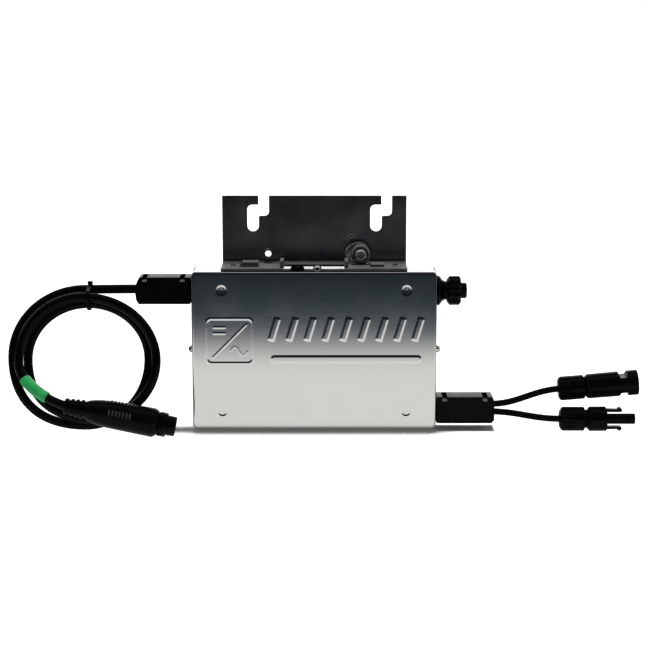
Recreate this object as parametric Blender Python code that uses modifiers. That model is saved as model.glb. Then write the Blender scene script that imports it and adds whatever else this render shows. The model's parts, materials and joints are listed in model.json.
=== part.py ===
"""Micro inverter: a flat metal case that hangs from a two-slot bracket, with a coiled AC lead and two DC leads.

Metres, +Z up. The origin is the centre of the bracket's back face, level with its two hook slots.
+X is the DC side, the case's front faces -Y, and the bracket's back face lies in the plane y = 0.
"""

import math

import bmesh
import bpy
from mathutils import Matrix, Vector
from mathutils.geometry import convex_hull_2d

GAP = 0.0003  # clearance between neighbouring pieces
MERGE = 0.00001

# Case: a drawn front cover closed by a shallow back pan.
CASE_WIDTH = 0.203
CASE_HEIGHT = 0.133
CASE_FRONT = -0.035
CASE_BACK = -0.0025
CASE_CENTRE = -0.100
SHEET = 0.0015
SEAL_WALL = 0.0009
PAN_DEPTH = 0.0070
ENTRY_Y = -0.019  # the glands, the port and the side screws share this depth
NECK_HOLE = 0.0060
SIDE_SCREW_HEIGHT = -0.0012
DIMPLE_X = 0.0765
DIMPLE_HEIGHT = 0.0510
TOP_FITTING_Y = -0.018
VENT_X = -0.014
EARTH_SCREW_X = 0.0025
FOOT_RIVET_X = 0.0680
FOOT_RIVET_Y = -0.017

# Bracket: one bent sheet.
PLATE_SHEET = 0.0020
PLATE_WIDTH = 0.154
PLATE_TOP = 0.0256
FOOT_INNER = 0.025
FOOT_FRONT = -0.0320
BEND_RADIUS = 0.0040
BEND_FRONT = -0.0085  # the gap between the feet ends here, in front of the bend
SLOT_LEFT = 0.0209  # from the plate's left edge to the left slot
SLOT_WIDTH = 0.0097
SLOT_PITCH = 0.1028
GROUND_X = 0.0387
GROUND_HEIGHT = 0.0775

# AC lead.
AC_ENTRY_HEIGHT = 0.0497
AC_CABLE_RADIUS = 0.0038
COIL_X = -0.191
COIL_HEIGHT = -0.00675
COIL_HALF_WIDTH = 0.0604
COIL_HALF_HEIGHT = 0.05605
COIL_PITCH = 0.0082
COIL_LEAN = 0.12
COIL_SAG = 0.045  # how much wider the coil hangs at its lower left
PLUG_LENGTH = 0.0926
PLUG_TILT = math.radians(11.0)

# DC leads.
DC_ENTRY_HEIGHT = -0.0518
DC_WIRE_RADIUS = 0.0027
DC_WIRE_SPLIT = 0.0033
CONNECTOR_TILT = math.radians(5.0)

# Glands and port.
AC_GLAND_LENGTH = 0.0461
DC_GLAND_LENGTH = 0.0489
GLAND_NECK = 0.0005
GLAND_DEPTH = 0.0210
GLAND_HEIGHT = 0.0225
GLAND_BORE = 0.0023  # how deep inside the gland's mouth a cable starts
PORT_HEIGHT = 0.0484

# Board.
BOARD_WIDTH = 0.184
BOARD_HEIGHT = 0.114
BOARD_BACK = -0.0093
BOARD_THICKNESS = 0.0016

LEFT = Vector((-1.0, 0.0, 0.0))
RIGHT = Vector((1.0, 0.0, 0.0))
FRONT = Vector((0.0, -1.0, 0.0))
UP = Vector((0.0, 0.0, 1.0))

# Finishes: colour, roughness and metallic value.
FINISHES = {
    "brushed_aluminium": ((0.62, 0.63, 0.62), 0.32, 1.0),
    "dark_steel": ((0.09, 0.09, 0.10), 0.45, 1.0),
    "grey_steel": ((0.35, 0.37, 0.40), 0.40, 1.0),
    "bright_steel": ((0.78, 0.78, 0.80), 0.22, 1.0),
    "black_plastic": ((0.012, 0.012, 0.014), 0.42, 0.0),
    "cable_jacket": ((0.010, 0.010, 0.011), 0.30, 0.0),
    "black_rubber": ((0.020, 0.020, 0.020), 0.80, 0.0),
    "green_sleeve": ((0.03, 0.42, 0.12), 0.45, 0.0),
    "board_green": ((0.02, 0.16, 0.07), 0.45, 0.0),
    "capacitor_sleeve": ((0.05, 0.06, 0.20), 0.40, 0.0),
    "ferrite": ((0.06, 0.06, 0.065), 0.60, 0.0),
    "copper": ((0.72, 0.38, 0.22), 0.35, 1.0),
    "pale_plastic": ((0.75, 0.74, 0.68), 0.50, 0.0),
    "insulation_film": ((0.55, 0.33, 0.08), 0.35, 0.0),
    "contact_tin": ((0.70, 0.68, 0.62), 0.30, 1.0),
    "glass_tube": ((0.80, 0.85, 0.85), 0.10, 0.0),
}


def at(x, y, height):
    """A point given by its height above the case's centre."""
    return Vector((x, y, CASE_CENTRE + height))


def clear_scene():
    for thing in list(bpy.data.objects):
        bpy.data.objects.remove(thing, do_unlink=True)


def new_collection(name):
    group = bpy.data.collections.new(name)
    bpy.context.scene.collection.children.link(group)
    return group


clear_scene()
PARTS = new_collection("micro_inverter")
CUTTERS = new_collection("cutters")


# Modelling helpers.


def add_object(name, data, centre=(0.0, 0.0, 0.0), direction=None):
    """A new object, its own Z axis turned along direction and its own Y axis kept as upright as it can be."""
    thing = bpy.data.objects.new(name, data)
    thing.location = centre
    if direction is not None:
        thing.rotation_euler = Vector(direction).to_track_quat("Z", "Y").to_euler()
    PARTS.objects.link(thing)
    return thing


def add_shape(name, shape, centre, direction=None):
    mesh = bpy.data.meshes.new(name)
    shape.to_mesh(mesh)
    shape.free()
    return add_object(name, mesh, centre, direction)


def paint(thing, finish):
    """Gives an object its own material in one of the named finishes."""
    colour, roughness, metallic = FINISHES[finish]
    material = bpy.data.materials.new(f"{thing.name}_{finish}")
    material.use_nodes = True
    surface = material.node_tree.nodes["Principled BSDF"]
    surface.inputs["Base Color"].default_value = (*colour, 1.0)
    surface.inputs["Roughness"].default_value = roughness
    surface.inputs["Metallic"].default_value = metallic
    thing.data.materials.clear()
    thing.data.materials.append(material)
    return thing


def smooth(thing, sharp_degrees=35.0):
    thing.data.shade_smooth()
    thing.data.set_sharp_from_angle(angle=math.radians(sharp_degrees))
    return thing


def block(name, size, centre, rounding=0.0, segments=1, direction=None):
    shape = bmesh.new()
    bmesh.ops.create_cube(shape, size=1.0)
    bmesh.ops.scale(shape, vec=size, verts=shape.verts)
    thing = add_shape(name, shape, centre, direction)
    if rounding:
        bevel = thing.modifiers.new("rounding", "BEVEL")
        bevel.width = rounding
        bevel.segments = segments
    return thing


def rod(name, radius, length, start, direction, sides=12, end_radius=None):
    """A cylinder or a cone from start, along direction."""
    shape = bmesh.new()
    bmesh.ops.create_cone(
        shape,
        cap_ends=True,
        segments=sides,
        radius1=radius,
        radius2=radius if end_radius is None else end_radius,
        depth=length,
    )
    centre = Vector(start) + Vector(direction).normalized() * (length / 2)
    return smooth(add_shape(name, shape, centre, direction))


def turned(name, outline, start, direction, steps=16, bore=()):
    """A round piece from (distance along, radius) points; bore is the same for a hole right through it."""
    outer = [(radius, 0.0, along) for along, radius in reversed(outline)]
    inner = [(radius, 0.0, along) for along, radius in bore]
    if not inner:
        outer = [(0.0, 0.0, outline[-1][0])] + outer + [(0.0, 0.0, outline[0][0])]
    points = outer + inner
    edges = [(i, i + 1) for i in range(len(points) - 1)]
    if inner:
        edges.append((len(points) - 1, 0))
    mesh = bpy.data.meshes.new(name)
    mesh.from_pydata(points, edges, [])
    thing = add_object(name, mesh, start, direction)
    screw = thing.modifiers.new("turning", "SCREW")
    screw.steps = steps
    screw.render_steps = steps
    screw.use_merge_vertices = True
    screw.merge_threshold = MERGE
    screw.use_smooth_shade = True
    return thing


def ring(name, outer, inner, length, start, direction, steps=16):
    return turned(name, [(0, outer), (length, outer)], start, direction, steps, [(0, inner), (length, inner)])


def screw_shape(name, head, head_length, shank, length, under_head, direction, steps=12):
    """A pan-head screw whose shank runs from under_head along direction."""
    outline = [
        (-head_length, head * 0.55),
        (-head_length * 0.6, head * 0.92),
        (0.0, head),
        (0.0, shank),
        (length, shank),
    ]
    return turned(name, outline, under_head, direction, steps)


def tube(name, points, radius, resolution=2):
    path = bpy.data.curves.new(name, "CURVE")
    path.dimensions = "3D"
    path.bevel_depth = radius
    path.bevel_resolution = resolution
    path.use_fill_caps = True
    path.resolution_u = 1
    path.render_resolution_u = 0
    spline = path.splines.new("POLY")
    spline.points.add(len(points) - 1)
    for knot, point in zip(spline.points, points):
        knot.co = (*point, 1.0)
    return add_object(name, path)


def flat(name, outlines, thickness, centre, direction):
    """A flat piece cut to closed outlines, given in its own X and Y."""
    path = bpy.data.curves.new(name, "CURVE")
    path.dimensions = "2D"
    path.fill_mode = "BOTH"
    path.extrude = thickness / 2
    path.resolution_u = 1
    path.render_resolution_u = 0
    for outline in outlines:
        spline = path.splines.new("POLY")
        spline.points.add(len(outline) - 1)
        for knot, (x, y) in zip(spline.points, outline):
            knot.co = (x, y, 0.0, 1.0)
        spline.use_cyclic_u = True
    return add_object(name, path, centre, direction)


def as_mesh(thing):
    """Turns a curve object into a mesh object in the same place, with its caps welded on."""
    bpy.context.view_layer.update()
    evaluated = thing.evaluated_get(bpy.context.evaluated_depsgraph_get())
    mesh = bpy.data.meshes.new_from_object(evaluated)
    shape = bmesh.new()
    shape.from_mesh(mesh)
    bmesh.ops.remove_doubles(shape, verts=shape.verts, dist=MERGE)
    shape.to_mesh(mesh)
    shape.free()
    name = thing.name
    place = thing.matrix_world.copy()
    bpy.data.objects.remove(thing)
    solid = add_object(name, mesh)
    solid.matrix_world = place
    return solid


def combine(thing, tools, operation):
    for tool in tools:
        modifier = thing.modifiers.new(tool.name, "BOOLEAN")
        modifier.operation = operation
        modifier.solver = "EXACT"
        modifier.object = tool
        PARTS.objects.unlink(tool)
        CUTTERS.objects.link(tool)
        tool.hide_render = True
        tool.display_type = "WIRE"
    return thing


def cut(thing, *tools):
    return combine(thing, tools, "DIFFERENCE")


def join(thing, *tools):
    return combine(thing, tools, "UNION")


def arc(centre, radius, start_degrees, end_degrees, steps):
    """Points along an arc, both ends included; radius is one number, or a pair for an ellipse."""
    wide, high = radius if isinstance(radius, tuple) else (radius, radius)
    turns = [math.radians(start_degrees + (end_degrees - start_degrees) * i / steps) for i in range(steps + 1)]
    return [(centre[0] + wide * math.cos(a), centre[1] + high * math.sin(a)) for a in turns]


def rounded_rectangle(width, height, corner, centre=(0.0, 0.0), steps=3):
    outline = []
    for quarter, (side_x, side_y) in enumerate(((1, 1), (-1, 1), (-1, -1), (1, -1))):
        middle_x = centre[0] + side_x * (width / 2 - corner)
        middle_y = centre[1] + side_y * (height / 2 - corner)
        outline += arc((middle_x, middle_y), corner, 90 * quarter, 90 * quarter + 90, steps)
    return outline


def pivot(name, point):
    """An empty on a joint's axis, for the pieces that move with it."""
    empty = bpy.data.objects.new(name, None)
    empty.location = point
    PARTS.objects.link(empty)
    return empty


def carry(parent, *things):
    """The things move with parent, and stay where they are now."""
    bpy.context.view_layer.update()
    for thing in things:
        thing.parent = parent
        thing.matrix_parent_inverse = parent.matrix_world.inverted()


# Case.


def tray(name, width, height, closed_y, open_y, corner, roll):
    """A drawn sheet tray: closed at closed_y, open at open_y, with rounded corners and a rolled edge."""
    depth = abs(open_y - closed_y)
    shape = bmesh.new()
    bmesh.ops.create_cube(shape, size=1.0)
    bmesh.ops.scale(shape, vec=(width, depth, height), verts=shape.verts)
    open_side = 1.0 if open_y > closed_y else -1.0
    opening = [face for face in shape.faces if face.normal.y * open_side > 0.9]
    bmesh.ops.delete(shape, geom=opening, context="FACES_ONLY")
    along_y = [e for e in shape.edges if abs(e.verts[0].co.y - e.verts[1].co.y) > depth / 2]
    bmesh.ops.bevel(shape, geom=along_y, offset=corner, segments=3, profile=0.5, affect="EDGES")
    closed_face = max(shape.faces, key=lambda face: -face.normal.y * open_side)
    bmesh.ops.bevel(shape, geom=list(closed_face.edges), offset=roll, segments=2, profile=0.5, affect="EDGES")
    thing = smooth(add_shape(name, shape, at(0.0, (closed_y + open_y) / 2, 0.0)))
    walls = thing.modifiers.new("sheet", "SOLIDIFY")
    walls.thickness = SHEET
    walls.offset = -1.0
    walls.use_even_offset = True
    return thing


def face_pattern():
    """The raised pattern on the cover: a converter symbol in a frame, a row of slanted beads and a long bead."""
    height = 0.0008
    frame_centre = (-0.0700, 0.0085)
    outlines = [
        rounded_rectangle(0.0400, 0.0400, 0.0040, frame_centre),
        rounded_rectangle(0.0350, 0.0350, 0.0025, frame_centre),
    ]
    for lift in (0.0115, 0.0065):
        outlines.append(rounded_rectangle(0.0110, 0.0022, 0.0008, (-0.0785, frame_centre[1] + lift), 1))
    wave = [(-0.0070, -0.0085), (-0.0040, -0.0045), (0.0, -0.0085), (0.0040, -0.0125), (0.0070, -0.0085)]
    outlines.append(ribbon([(-0.0622 + x, frame_centre[1] + z) for x, z in wave], 0.0022))
    outlines.append(ribbon([(-0.0845, -0.0060), (-0.0555, 0.0230)], 0.0020))
    beads = 9
    for index in range(beads):
        centre_x = -0.0330 + 0.1190 * index / (beads - 1)
        outlines.append(ribbon([(centre_x - 0.0030, 0.0085), (centre_x + 0.0030, 0.0285)], 0.0060))
    outlines.append(ribbon([(-0.0360, -0.0070), (0.0890, -0.0070)], 0.0070))
    middle_y = CASE_FRONT - height / 2 + SHEET / 4
    pattern = flat("face_pattern", outlines, height + SHEET / 2, at(0.0, middle_y, 0.0), FRONT)
    return as_mesh(pattern)


def ribbon(points, width):
    """The outline of a bent strip that follows points, with square ends."""
    left, right = [], []
    for index, point in enumerate(points):
        before = Vector(points[max(index - 1, 0)])
        after = Vector(points[min(index + 1, len(points) - 1)])
        along = (after - before).normalized()
        side = Vector((-along.y, along.x)) * (width / 2)
        left.append(tuple(Vector(point) + side))
        right.append(tuple(Vector(point) - side))
    return left + right[::-1]


def make_front_cover():
    cover = tray("front_cover", CASE_WIDTH, CASE_HEIGHT, CASE_FRONT, CASE_BACK, 0.0037, 0.0020)
    join(cover, face_pattern())
    dimple_radius, dimple_floor, dimple_depth = 0.0048, 0.0028, 0.0010
    for side_x in (-1, 1):
        for side_z in (-1, 1):
            start = at(side_x * DIMPLE_X, CASE_FRONT - GAP, side_z * DIMPLE_HEIGHT)
            name = f"dimple_{side_x}_{side_z}"
            cut(cover, rod(name, dimple_radius, dimple_depth + GAP, start, -FRONT, 12, dimple_floor))
    wall_x = CASE_WIDTH / 2 - 0.0035
    wall_height = CASE_HEIGHT / 2 - 0.0045
    drill = 0.006
    for name, side, height in (
        ("ac_entry", LEFT, AC_ENTRY_HEIGHT),
        ("port_entry", RIGHT, PORT_HEIGHT),
        ("dc_entry", RIGHT, DC_ENTRY_HEIGHT),
    ):
        cut(cover, rod(f"{name}_hole", NECK_HOLE, drill, at(side.x * wall_x, ENTRY_Y, height), side))
    for side in (LEFT, RIGHT):
        start = at(side.x * wall_x, ENTRY_Y, SIDE_SCREW_HEIGHT)
        cut(cover, rod(f"cover_screw_hole_{side.x:.0f}", 0.0023, drill, start, side, 12))
    for side_x in (-1, 1):
        start = at(side_x * FOOT_RIVET_X, FOOT_RIVET_Y, wall_height)
        cut(cover, rod(f"cover_rivet_hole_{side_x}", 0.0020, drill, start, UP, 12))
    cut(cover, rod("vent_hole", 0.0034, drill, at(VENT_X, TOP_FITTING_Y, wall_height), UP))
    cut(cover, rod("earth_screw_hole", 0.0024, drill, at(EARTH_SCREW_X, TOP_FITTING_Y, wall_height), UP, 12))
    return paint(cover, "brushed_aluminium")


def seal_size():
    """Outer width and height of the seal that lines the cover's walls."""
    return CASE_WIDTH - 2 * (SHEET + GAP), CASE_HEIGHT - 2 * (SHEET + GAP)


def make_case_seal():
    width, height = seal_size()
    inner = (width - 2 * SEAL_WALL, height - 2 * SEAL_WALL)
    outlines = [rounded_rectangle(width, height, 0.0022), rounded_rectangle(*inner, 0.0013)]
    middle_y = CASE_BACK - GAP - 0.0025
    return paint(flat("case_seal", outlines, 0.005, at(0.0, middle_y, 0.0), FRONT), "black_rubber")


def make_back_pan():
    width, height = seal_size()
    shrink = 2 * (SEAL_WALL + GAP)
    pan = tray("back_pan", width - shrink, height - shrink, CASE_BACK, CASE_BACK - PAN_DEPTH, 0.0022, 0.0018)
    for side in (LEFT, RIGHT):
        tab_x = side.x * ((width - shrink) / 2 - SHEET / 2)
        tab = block(f"screw_tab_{side.x:.0f}", (SHEET, 0.019, 0.016), at(tab_x, -0.0150, SIDE_SCREW_HEIGHT))
        join(pan, tab)
        start = at(tab_x - side.x * 0.003, ENTRY_Y, SIDE_SCREW_HEIGHT)
        cut(pan, rod(f"tab_hole_{side.x:.0f}", 0.0023, 0.006, start, side, 12))
    return paint(pan, "grey_steel")


def make_side_screws():
    screws = []
    for name, side in (("side_screw_left", LEFT), ("side_screw_right", RIGHT)):
        under_head = at(side.x * (CASE_WIDTH / 2 + GAP), ENTRY_Y, SIDE_SCREW_HEIGHT)
        screws.append(paint(screw_shape(name, 0.0032, 0.0034, 0.0020, 0.008, under_head, -side), "bright_steel"))
    return screws


def make_top_fittings():
    """What shows on the case's top between the bracket's feet."""
    cover_top = at(0.0, 0.0, CASE_HEIGHT / 2 + GAP).z
    vent_outline = [(-0.005, 0.0030), (0.0, 0.0030), (0.0, 0.0058), (0.0014, 0.0058), (0.0022, 0.0040)]
    vent = turned("vent_plug", vent_outline, (VENT_X, TOP_FITTING_Y, cover_top), UP)
    screw = screw_shape("earth_screw", 0.0036, 0.0026, 0.0021, 0.006, (EARTH_SCREW_X, TOP_FITTING_Y, cover_top), -UP)
    return [paint(vent, "black_plastic"), paint(screw, "bright_steel")]


# Bracket.


def hook_slot(name, left_edge):
    """The cutter for one hook slot: an opening in the top edge, stepping down into a round-ended slot."""
    opening_left = left_edge + 0.0093
    opening_right = left_edge + 0.0182
    slot_right = left_edge + SLOT_WIDTH
    lip = PLATE_TOP - 0.0075
    step = PLATE_TOP - 0.0169
    end = PLATE_TOP - 0.0301
    radius = (slot_right - left_edge) / 2
    middle = (left_edge + slot_right) / 2
    outline = [(opening_left, PLATE_TOP + 0.002), (opening_left, lip)]
    outline += arc((left_edge + 0.004, lip - 0.004), 0.004, 90, 180, 3)
    outline += arc((middle, end + radius), radius, 180, 360, 8)
    outline += arc((slot_right + 0.0012, step - 0.0012), 0.0012, 180, 90, 2)
    outline += arc((opening_right - 0.0035, step + 0.0035), 0.0035, 270, 360, 3)
    outline.append((opening_right, PLATE_TOP + 0.002))
    return as_mesh(flat(name, [outline], 0.010, (0.0, -PLATE_SHEET / 2, 0.0), FRONT))


def bent_sheet():
    """The bracket's blank: a tall plate that bends forward into a flange over the case's top."""
    flange_top = at(0.0, 0.0, CASE_HEIGHT / 2 + GAP).z + PLATE_SHEET
    bend_y = -PLATE_SHEET - BEND_RADIUS
    bend = arc((bend_y, flange_top + BEND_RADIUS), BEND_RADIUS, 0, -90, 4)
    section = [(-PLATE_SHEET, PLATE_TOP)] + bend + [(FOOT_FRONT, flange_top)]
    shape = bmesh.new()
    row = [shape.verts.new((-PLATE_WIDTH / 2, y, z)) for y, z in section]
    edges = [shape.edges.new(pair) for pair in zip(row, row[1:])]
    swept = bmesh.ops.extrude_edge_only(shape, edges=edges)["geom"]
    moved = [item for item in swept if isinstance(item, bmesh.types.BMVert)]
    bmesh.ops.translate(shape, verts=moved, vec=(PLATE_WIDTH, 0.0, 0.0))
    bmesh.ops.recalc_face_normals(shape, faces=shape.faces)
    if max(shape.faces, key=lambda face: face.calc_area()).normal.y > 0:
        bmesh.ops.reverse_faces(shape, faces=shape.faces)
    sheet = smooth(add_shape("mounting_bracket", shape, (0.0, 0.0, 0.0)))
    walls = sheet.modifiers.new("sheet", "SOLIDIFY")
    walls.thickness = PLATE_SHEET
    walls.offset = -1.0
    walls.use_even_offset = True
    return sheet, flange_top


def raised_clip(name, left, right, lift, flange_top, slope):
    """A stamped clip standing on a foot, its left side sloped."""
    outline = [
        (left, flange_top - 0.0005),
        (right, flange_top - 0.0005),
        (right, flange_top + lift),
        (left + slope, flange_top + lift),
    ]
    return as_mesh(flat(name, [outline], 0.013, (0.0, -0.0175, 0.0), FRONT))


def make_bracket():
    bracket, flange_top = bent_sheet()
    for side in (-1, 1):
        post = block(f"foot_end_{side}", (0.0030, 0.020, 0.006), (side * 0.0268, -0.0185, flange_top + 0.0025))
        join(bracket, post)
    join(bracket, raised_clip("clip_left", -0.0625, -0.0462, 0.0040, flange_top, 0.0030))
    join(bracket, raised_clip("clip_right", 0.0462, 0.0580, 0.0022, flange_top, 0.0008))
    cut(bracket, hook_slot("hook_slot_left", -PLATE_WIDTH / 2 + SLOT_LEFT))
    cut(bracket, hook_slot("hook_slot_right", -PLATE_WIDTH / 2 + SLOT_LEFT + SLOT_PITCH))
    gap_depth = 0.030
    gap_centre = (0.0, BEND_FRONT - gap_depth / 2, flange_top)
    cut(bracket, block("gap_between_feet", (2 * FOOT_INNER, gap_depth, 0.012), gap_centre))
    for name, radius, x, height in (
        ("clinch_nut_hole", 0.0037, -GROUND_X, GROUND_HEIGHT - 0.0005),
        ("ground_bolt_hole", 0.0029, GROUND_X, GROUND_HEIGHT),
        ("ground_rivet_hole", 0.0020, GROUND_X - 0.008, GROUND_HEIGHT + 0.0135),
    ):
        cut(bracket, rod(name, radius, 0.006, at(x, 0.002, height), FRONT))
    for side in (-1, 1):
        start = (side * FOOT_RIVET_X, FOOT_RIVET_Y, flange_top - 0.004)
        cut(bracket, rod(f"foot_rivet_hole_{side}", 0.0020, 0.006, start, UP, 12))
    return paint(bracket, "dark_steel"), flange_top


def make_bracket_fittings(flange_top):
    plate_front = -PLATE_SHEET - GAP
    nut_start = at(-GROUND_X, -GAP, GROUND_HEIGHT - 0.0005)
    nut_outline = [(0.0, 0.0034), (PLATE_SHEET, 0.0034), (PLATE_SHEET, 0.0046), (0.0045, 0.0042)]
    nut = turned("clinch_nut", nut_outline, nut_start, FRONT, 12, [(0.0, 0.0027), (0.0045, 0.0027)])
    rivet_start = at(GROUND_X - 0.008, plate_front, GROUND_HEIGHT + 0.0135)
    rivet = screw_shape("ground_rivet", 0.0044, 0.0010, 0.0017, 0.0016, rivet_start, -FRONT)
    fittings = [paint(nut, "dark_steel"), paint(rivet, "dark_steel")]
    for name, side in (("foot_rivet_left", -1), ("foot_rivet_right", 1)):
        start = (side * FOOT_RIVET_X, FOOT_RIVET_Y, flange_top + GAP)
        foot_rivet = screw_shape(name, 0.0034, 0.0012, 0.0017, 0.0050, start, -UP)
        fittings.append(paint(foot_rivet, "grey_steel"))
    return fittings


def make_ground_hardware():
    """From the plate forward: spacer, half-round clip, dished clamp and the bolt through them all."""
    start = at(GROUND_X, -PLATE_SHEET - GAP, GROUND_HEIGHT)
    spacer_length = 0.0026
    clip_sheet = 0.0012
    clamp_length = 0.0060
    spacer = ring("ground_spacer", 0.0042, 0.0029, spacer_length, start, FRONT)
    clip_back = start + FRONT * (spacer_length + GAP)
    outline = [(0.0045, -0.0080), (0.0045, 0.0086)]
    outline += arc((-0.0010, 0.0008), (0.0118, 0.0092), 80, 280, 14)
    hole = arc((0.0, 0.0), 0.0029, 0, 337.5, 15)
    clip_centre = clip_back + FRONT * (clip_sheet / 2)
    clip = flat("ground_clip", [outline, hole], clip_sheet, clip_centre, FRONT)
    clamp_start = clip_back + FRONT * (clip_sheet + GAP)
    clamp_outline = [(0.0, 0.0083), (0.0042, 0.0083), (clamp_length, 0.0068)]
    clamp = turned(
        "ground_clamp", clamp_outline, clamp_start, FRONT, 16, [(0.0, 0.0029), (clamp_length, 0.0029)]
    )
    under_head = clamp_start + FRONT * (clamp_length + GAP)
    shank = -under_head.y - GAP
    bolt_outline = [(-0.0040, 0.0044), (-0.0035, 0.0050), (0.0, 0.0050), (0.0, 0.0026), (shank, 0.0026)]
    bolt = turned("ground_bolt", bolt_outline, under_head, -FRONT)
    cut(bolt, rod("bolt_socket", 0.0030, 0.0028, under_head + FRONT * 0.0042, -FRONT, 6))
    carry(pivot("ground_bolt_axis", under_head), bolt)
    return [
        paint(spacer, "bright_steel"),
        paint(clip, "bright_steel"),
        paint(clamp, "dark_steel"),
        paint(bolt, "bright_steel"),
    ]


# Glands and port.


def make_gland(name, side, height, length):
    """An overmoulded cable entry: a neck through the case wall and a block with two pockets in its top."""
    wall = at(side.x * (CASE_WIDTH / 2), ENTRY_Y, height)
    box_start = wall + side * GLAND_NECK
    centre = box_start + side * (length / 2)
    gland = block(name, (length, GLAND_DEPTH, GLAND_HEIGHT), centre, 0.0012)
    neck_outline = [(-0.0060, 0.0057), (GAP, 0.0057), (GAP, 0.0080), (GLAND_NECK + 0.0010, 0.0080)]
    join(gland, turned(f"{name}_neck", neck_outline, wall, side))
    pocket_width, pocket_depth, back_wall, over = 0.0042, 0.0034, 0.0030, 0.001
    reach = GLAND_DEPTH - back_wall + over
    for along in (0.0072, length - 0.0078):
        top = box_start + side * along + UP * (GLAND_HEIGHT / 2)
        pocket = top + FRONT * ((GLAND_DEPTH / 2 + over) - reach / 2)
        cut(gland, block(f"{name}_pocket_{along:.4f}", (pocket_width, reach, 2 * pocket_depth), pocket))
    return paint(gland, "black_plastic")


def make_ac_gland():
    gland = make_gland("ac_gland", LEFT, AC_ENTRY_HEIGHT, AC_GLAND_LENGTH)
    mouth = ac_cable_start() - LEFT * 0.0017
    cut(gland, rod("ac_mouth", AC_CABLE_RADIUS + 0.0005, 0.0042, mouth, LEFT, 16, 0.0058))


def make_dc_gland():
    gland = make_gland("dc_gland", RIGHT, DC_ENTRY_HEIGHT, DC_GLAND_LENGTH)
    mouth = at(CASE_WIDTH / 2 + GLAND_NECK + DC_GLAND_LENGTH, ENTRY_Y, DC_ENTRY_HEIGHT)
    slot_height = 2 * (DC_WIRE_SPLIT + DC_WIRE_RADIUS + 2 * GAP)
    cut(gland, block("dc_mouth", (0.0080, 0.0088, slot_height), mouth))


def make_port():
    wall = at(CASE_WIDTH / 2, ENTRY_Y, PORT_HEIGHT)
    neck_end = 0.0165
    outline = [
        (-0.0060, 0.0057),
        (GAP, 0.0057),
        (GAP, 0.0124),
        (0.0025, 0.0124),
        (0.0052, 0.0090),
        (0.0072, 0.0077),
        (neck_end, 0.0077),
    ]
    housing = turned("port_housing", outline, wall, RIGHT)
    cut(housing, rod("port_bore", 0.0055, 0.0120, wall + RIGHT * (neck_end - 0.0110), RIGHT))
    insert_start = wall + RIGHT * (neck_end - 0.0110 + GAP)
    insert = turned("port_contacts", [(0.0, 0.0052), (0.0035, 0.0052)], insert_start, RIGHT)
    for index in range(4):
        turn = math.radians(45 + 90 * index)
        offset = Vector((0.002, 0.0026 * math.cos(turn), 0.0026 * math.sin(turn)))
        join(insert, rod(f"port_pin_{index}", 0.0009, 0.0080, insert_start + offset, RIGHT, 6))
    cap_start = wall + RIGHT * (neck_end + GAP)
    cap_outline = [(0.0, 0.0076), (0.0014, 0.0076), (0.0014, 0.0065), (0.0080, 0.0065), (0.0086, 0.0058)]
    cap = turned("port_cap", cap_outline, cap_start, RIGHT)
    nut_start = wall + RIGHT * 0.0086
    nut_outline = [(0.0, 0.0090), (0.0022, 0.0121), (0.0105, 0.0121), (0.0118, 0.0104)]
    nut_bore = [(0.0, 0.0080), (0.0097, 0.0080), (0.0097, 0.0068), (0.0118, 0.0068)]
    nut = turned("port_nut", nut_outline, nut_start, RIGHT, 16, nut_bore)
    wings = 6
    for index in range(wings):
        turn = 2 * math.pi * index / wings
        groove = nut_start + Vector((0.004, 0.0128 * math.cos(turn), 0.0128 * math.sin(turn)))
        cut(nut, rod(f"nut_groove_{index}", 0.0020, 0.0120, groove, RIGHT, 6))
    carry(pivot("port_cap_axis", cap_start), cap)
    carry(pivot("port_nut_axis", nut_start), nut)
    return [paint(piece, "black_plastic") for piece in (housing, cap, nut)] + [paint(insert, "contact_tin")]


# AC lead.


def ac_cable_start():
    """Where the AC cable begins, just inside its gland's mouth; it swings about this point."""
    return at(-CASE_WIDTH / 2 - GLAND_NECK - AC_GLAND_LENGTH + GLAND_BORE, ENTRY_Y, AC_ENTRY_HEIGHT)


def plug_direction():
    return Vector((math.cos(PLUG_TILT), 0.0, -math.sin(PLUG_TILT)))


def plug_start():
    return at(-0.2042, -0.0640, -0.0396)


def coil_inset(turns):
    """How far inside the widest turn the cable lies; it wanders, so the turns lie side by side."""
    stations = ((0.25, 0.0), (0.75, 0.0), (1.0, 0.0069), (1.5, 0.0142), (2.0, 0.0), (2.25, 0.0036), (2.5, 0.0078))
    for (start, low), (end, high) in zip(stations, stations[1:]):
        if turns <= end:
            share = (turns - start) / (end - start)
            return low + (high - low) * share * share * (3 - 2 * share)
    return stations[-1][1]


def coil_point(turns):
    """A point of the coil; turns counts from the right, anticlockwise as seen from the front."""
    turn = 2 * math.pi * turns
    inset = coil_inset(turns)
    lower_left = math.cos(turn) < 0 and math.sin(turn) < 0
    sag = 1 + COIL_SAG * math.sin(2 * turn) ** 2 if lower_left else 1
    height = COIL_HEIGHT + (COIL_HALF_HEIGHT - inset) * math.sin(turn) * sag
    x = COIL_X + (COIL_HALF_WIDTH - inset) * math.cos(turn) * sag
    lean = COIL_LEAN * (AC_ENTRY_HEIGHT - height)
    return at(x, ENTRY_Y - COIL_PITCH * (turns - 0.25) - lean, height)


def bezier(start, handle_start, handle_end, end, share):
    rest = 1 - share
    return (
        start * rest**3 + handle_start * (3 * rest * rest * share)
        + handle_end * (3 * rest * share * share) + end * share**3
    )


def ac_tail(share):
    """The cable's last stretch, from the coil's left side down into the plug."""
    start = coil_point(2.5)
    handle = 0.018
    along = (start - coil_point(2.48)).normalized()
    end = plug_start() + plug_direction() * 0.006
    return bezier(start, start + along * handle, end - plug_direction() * handle, end, share)


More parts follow.
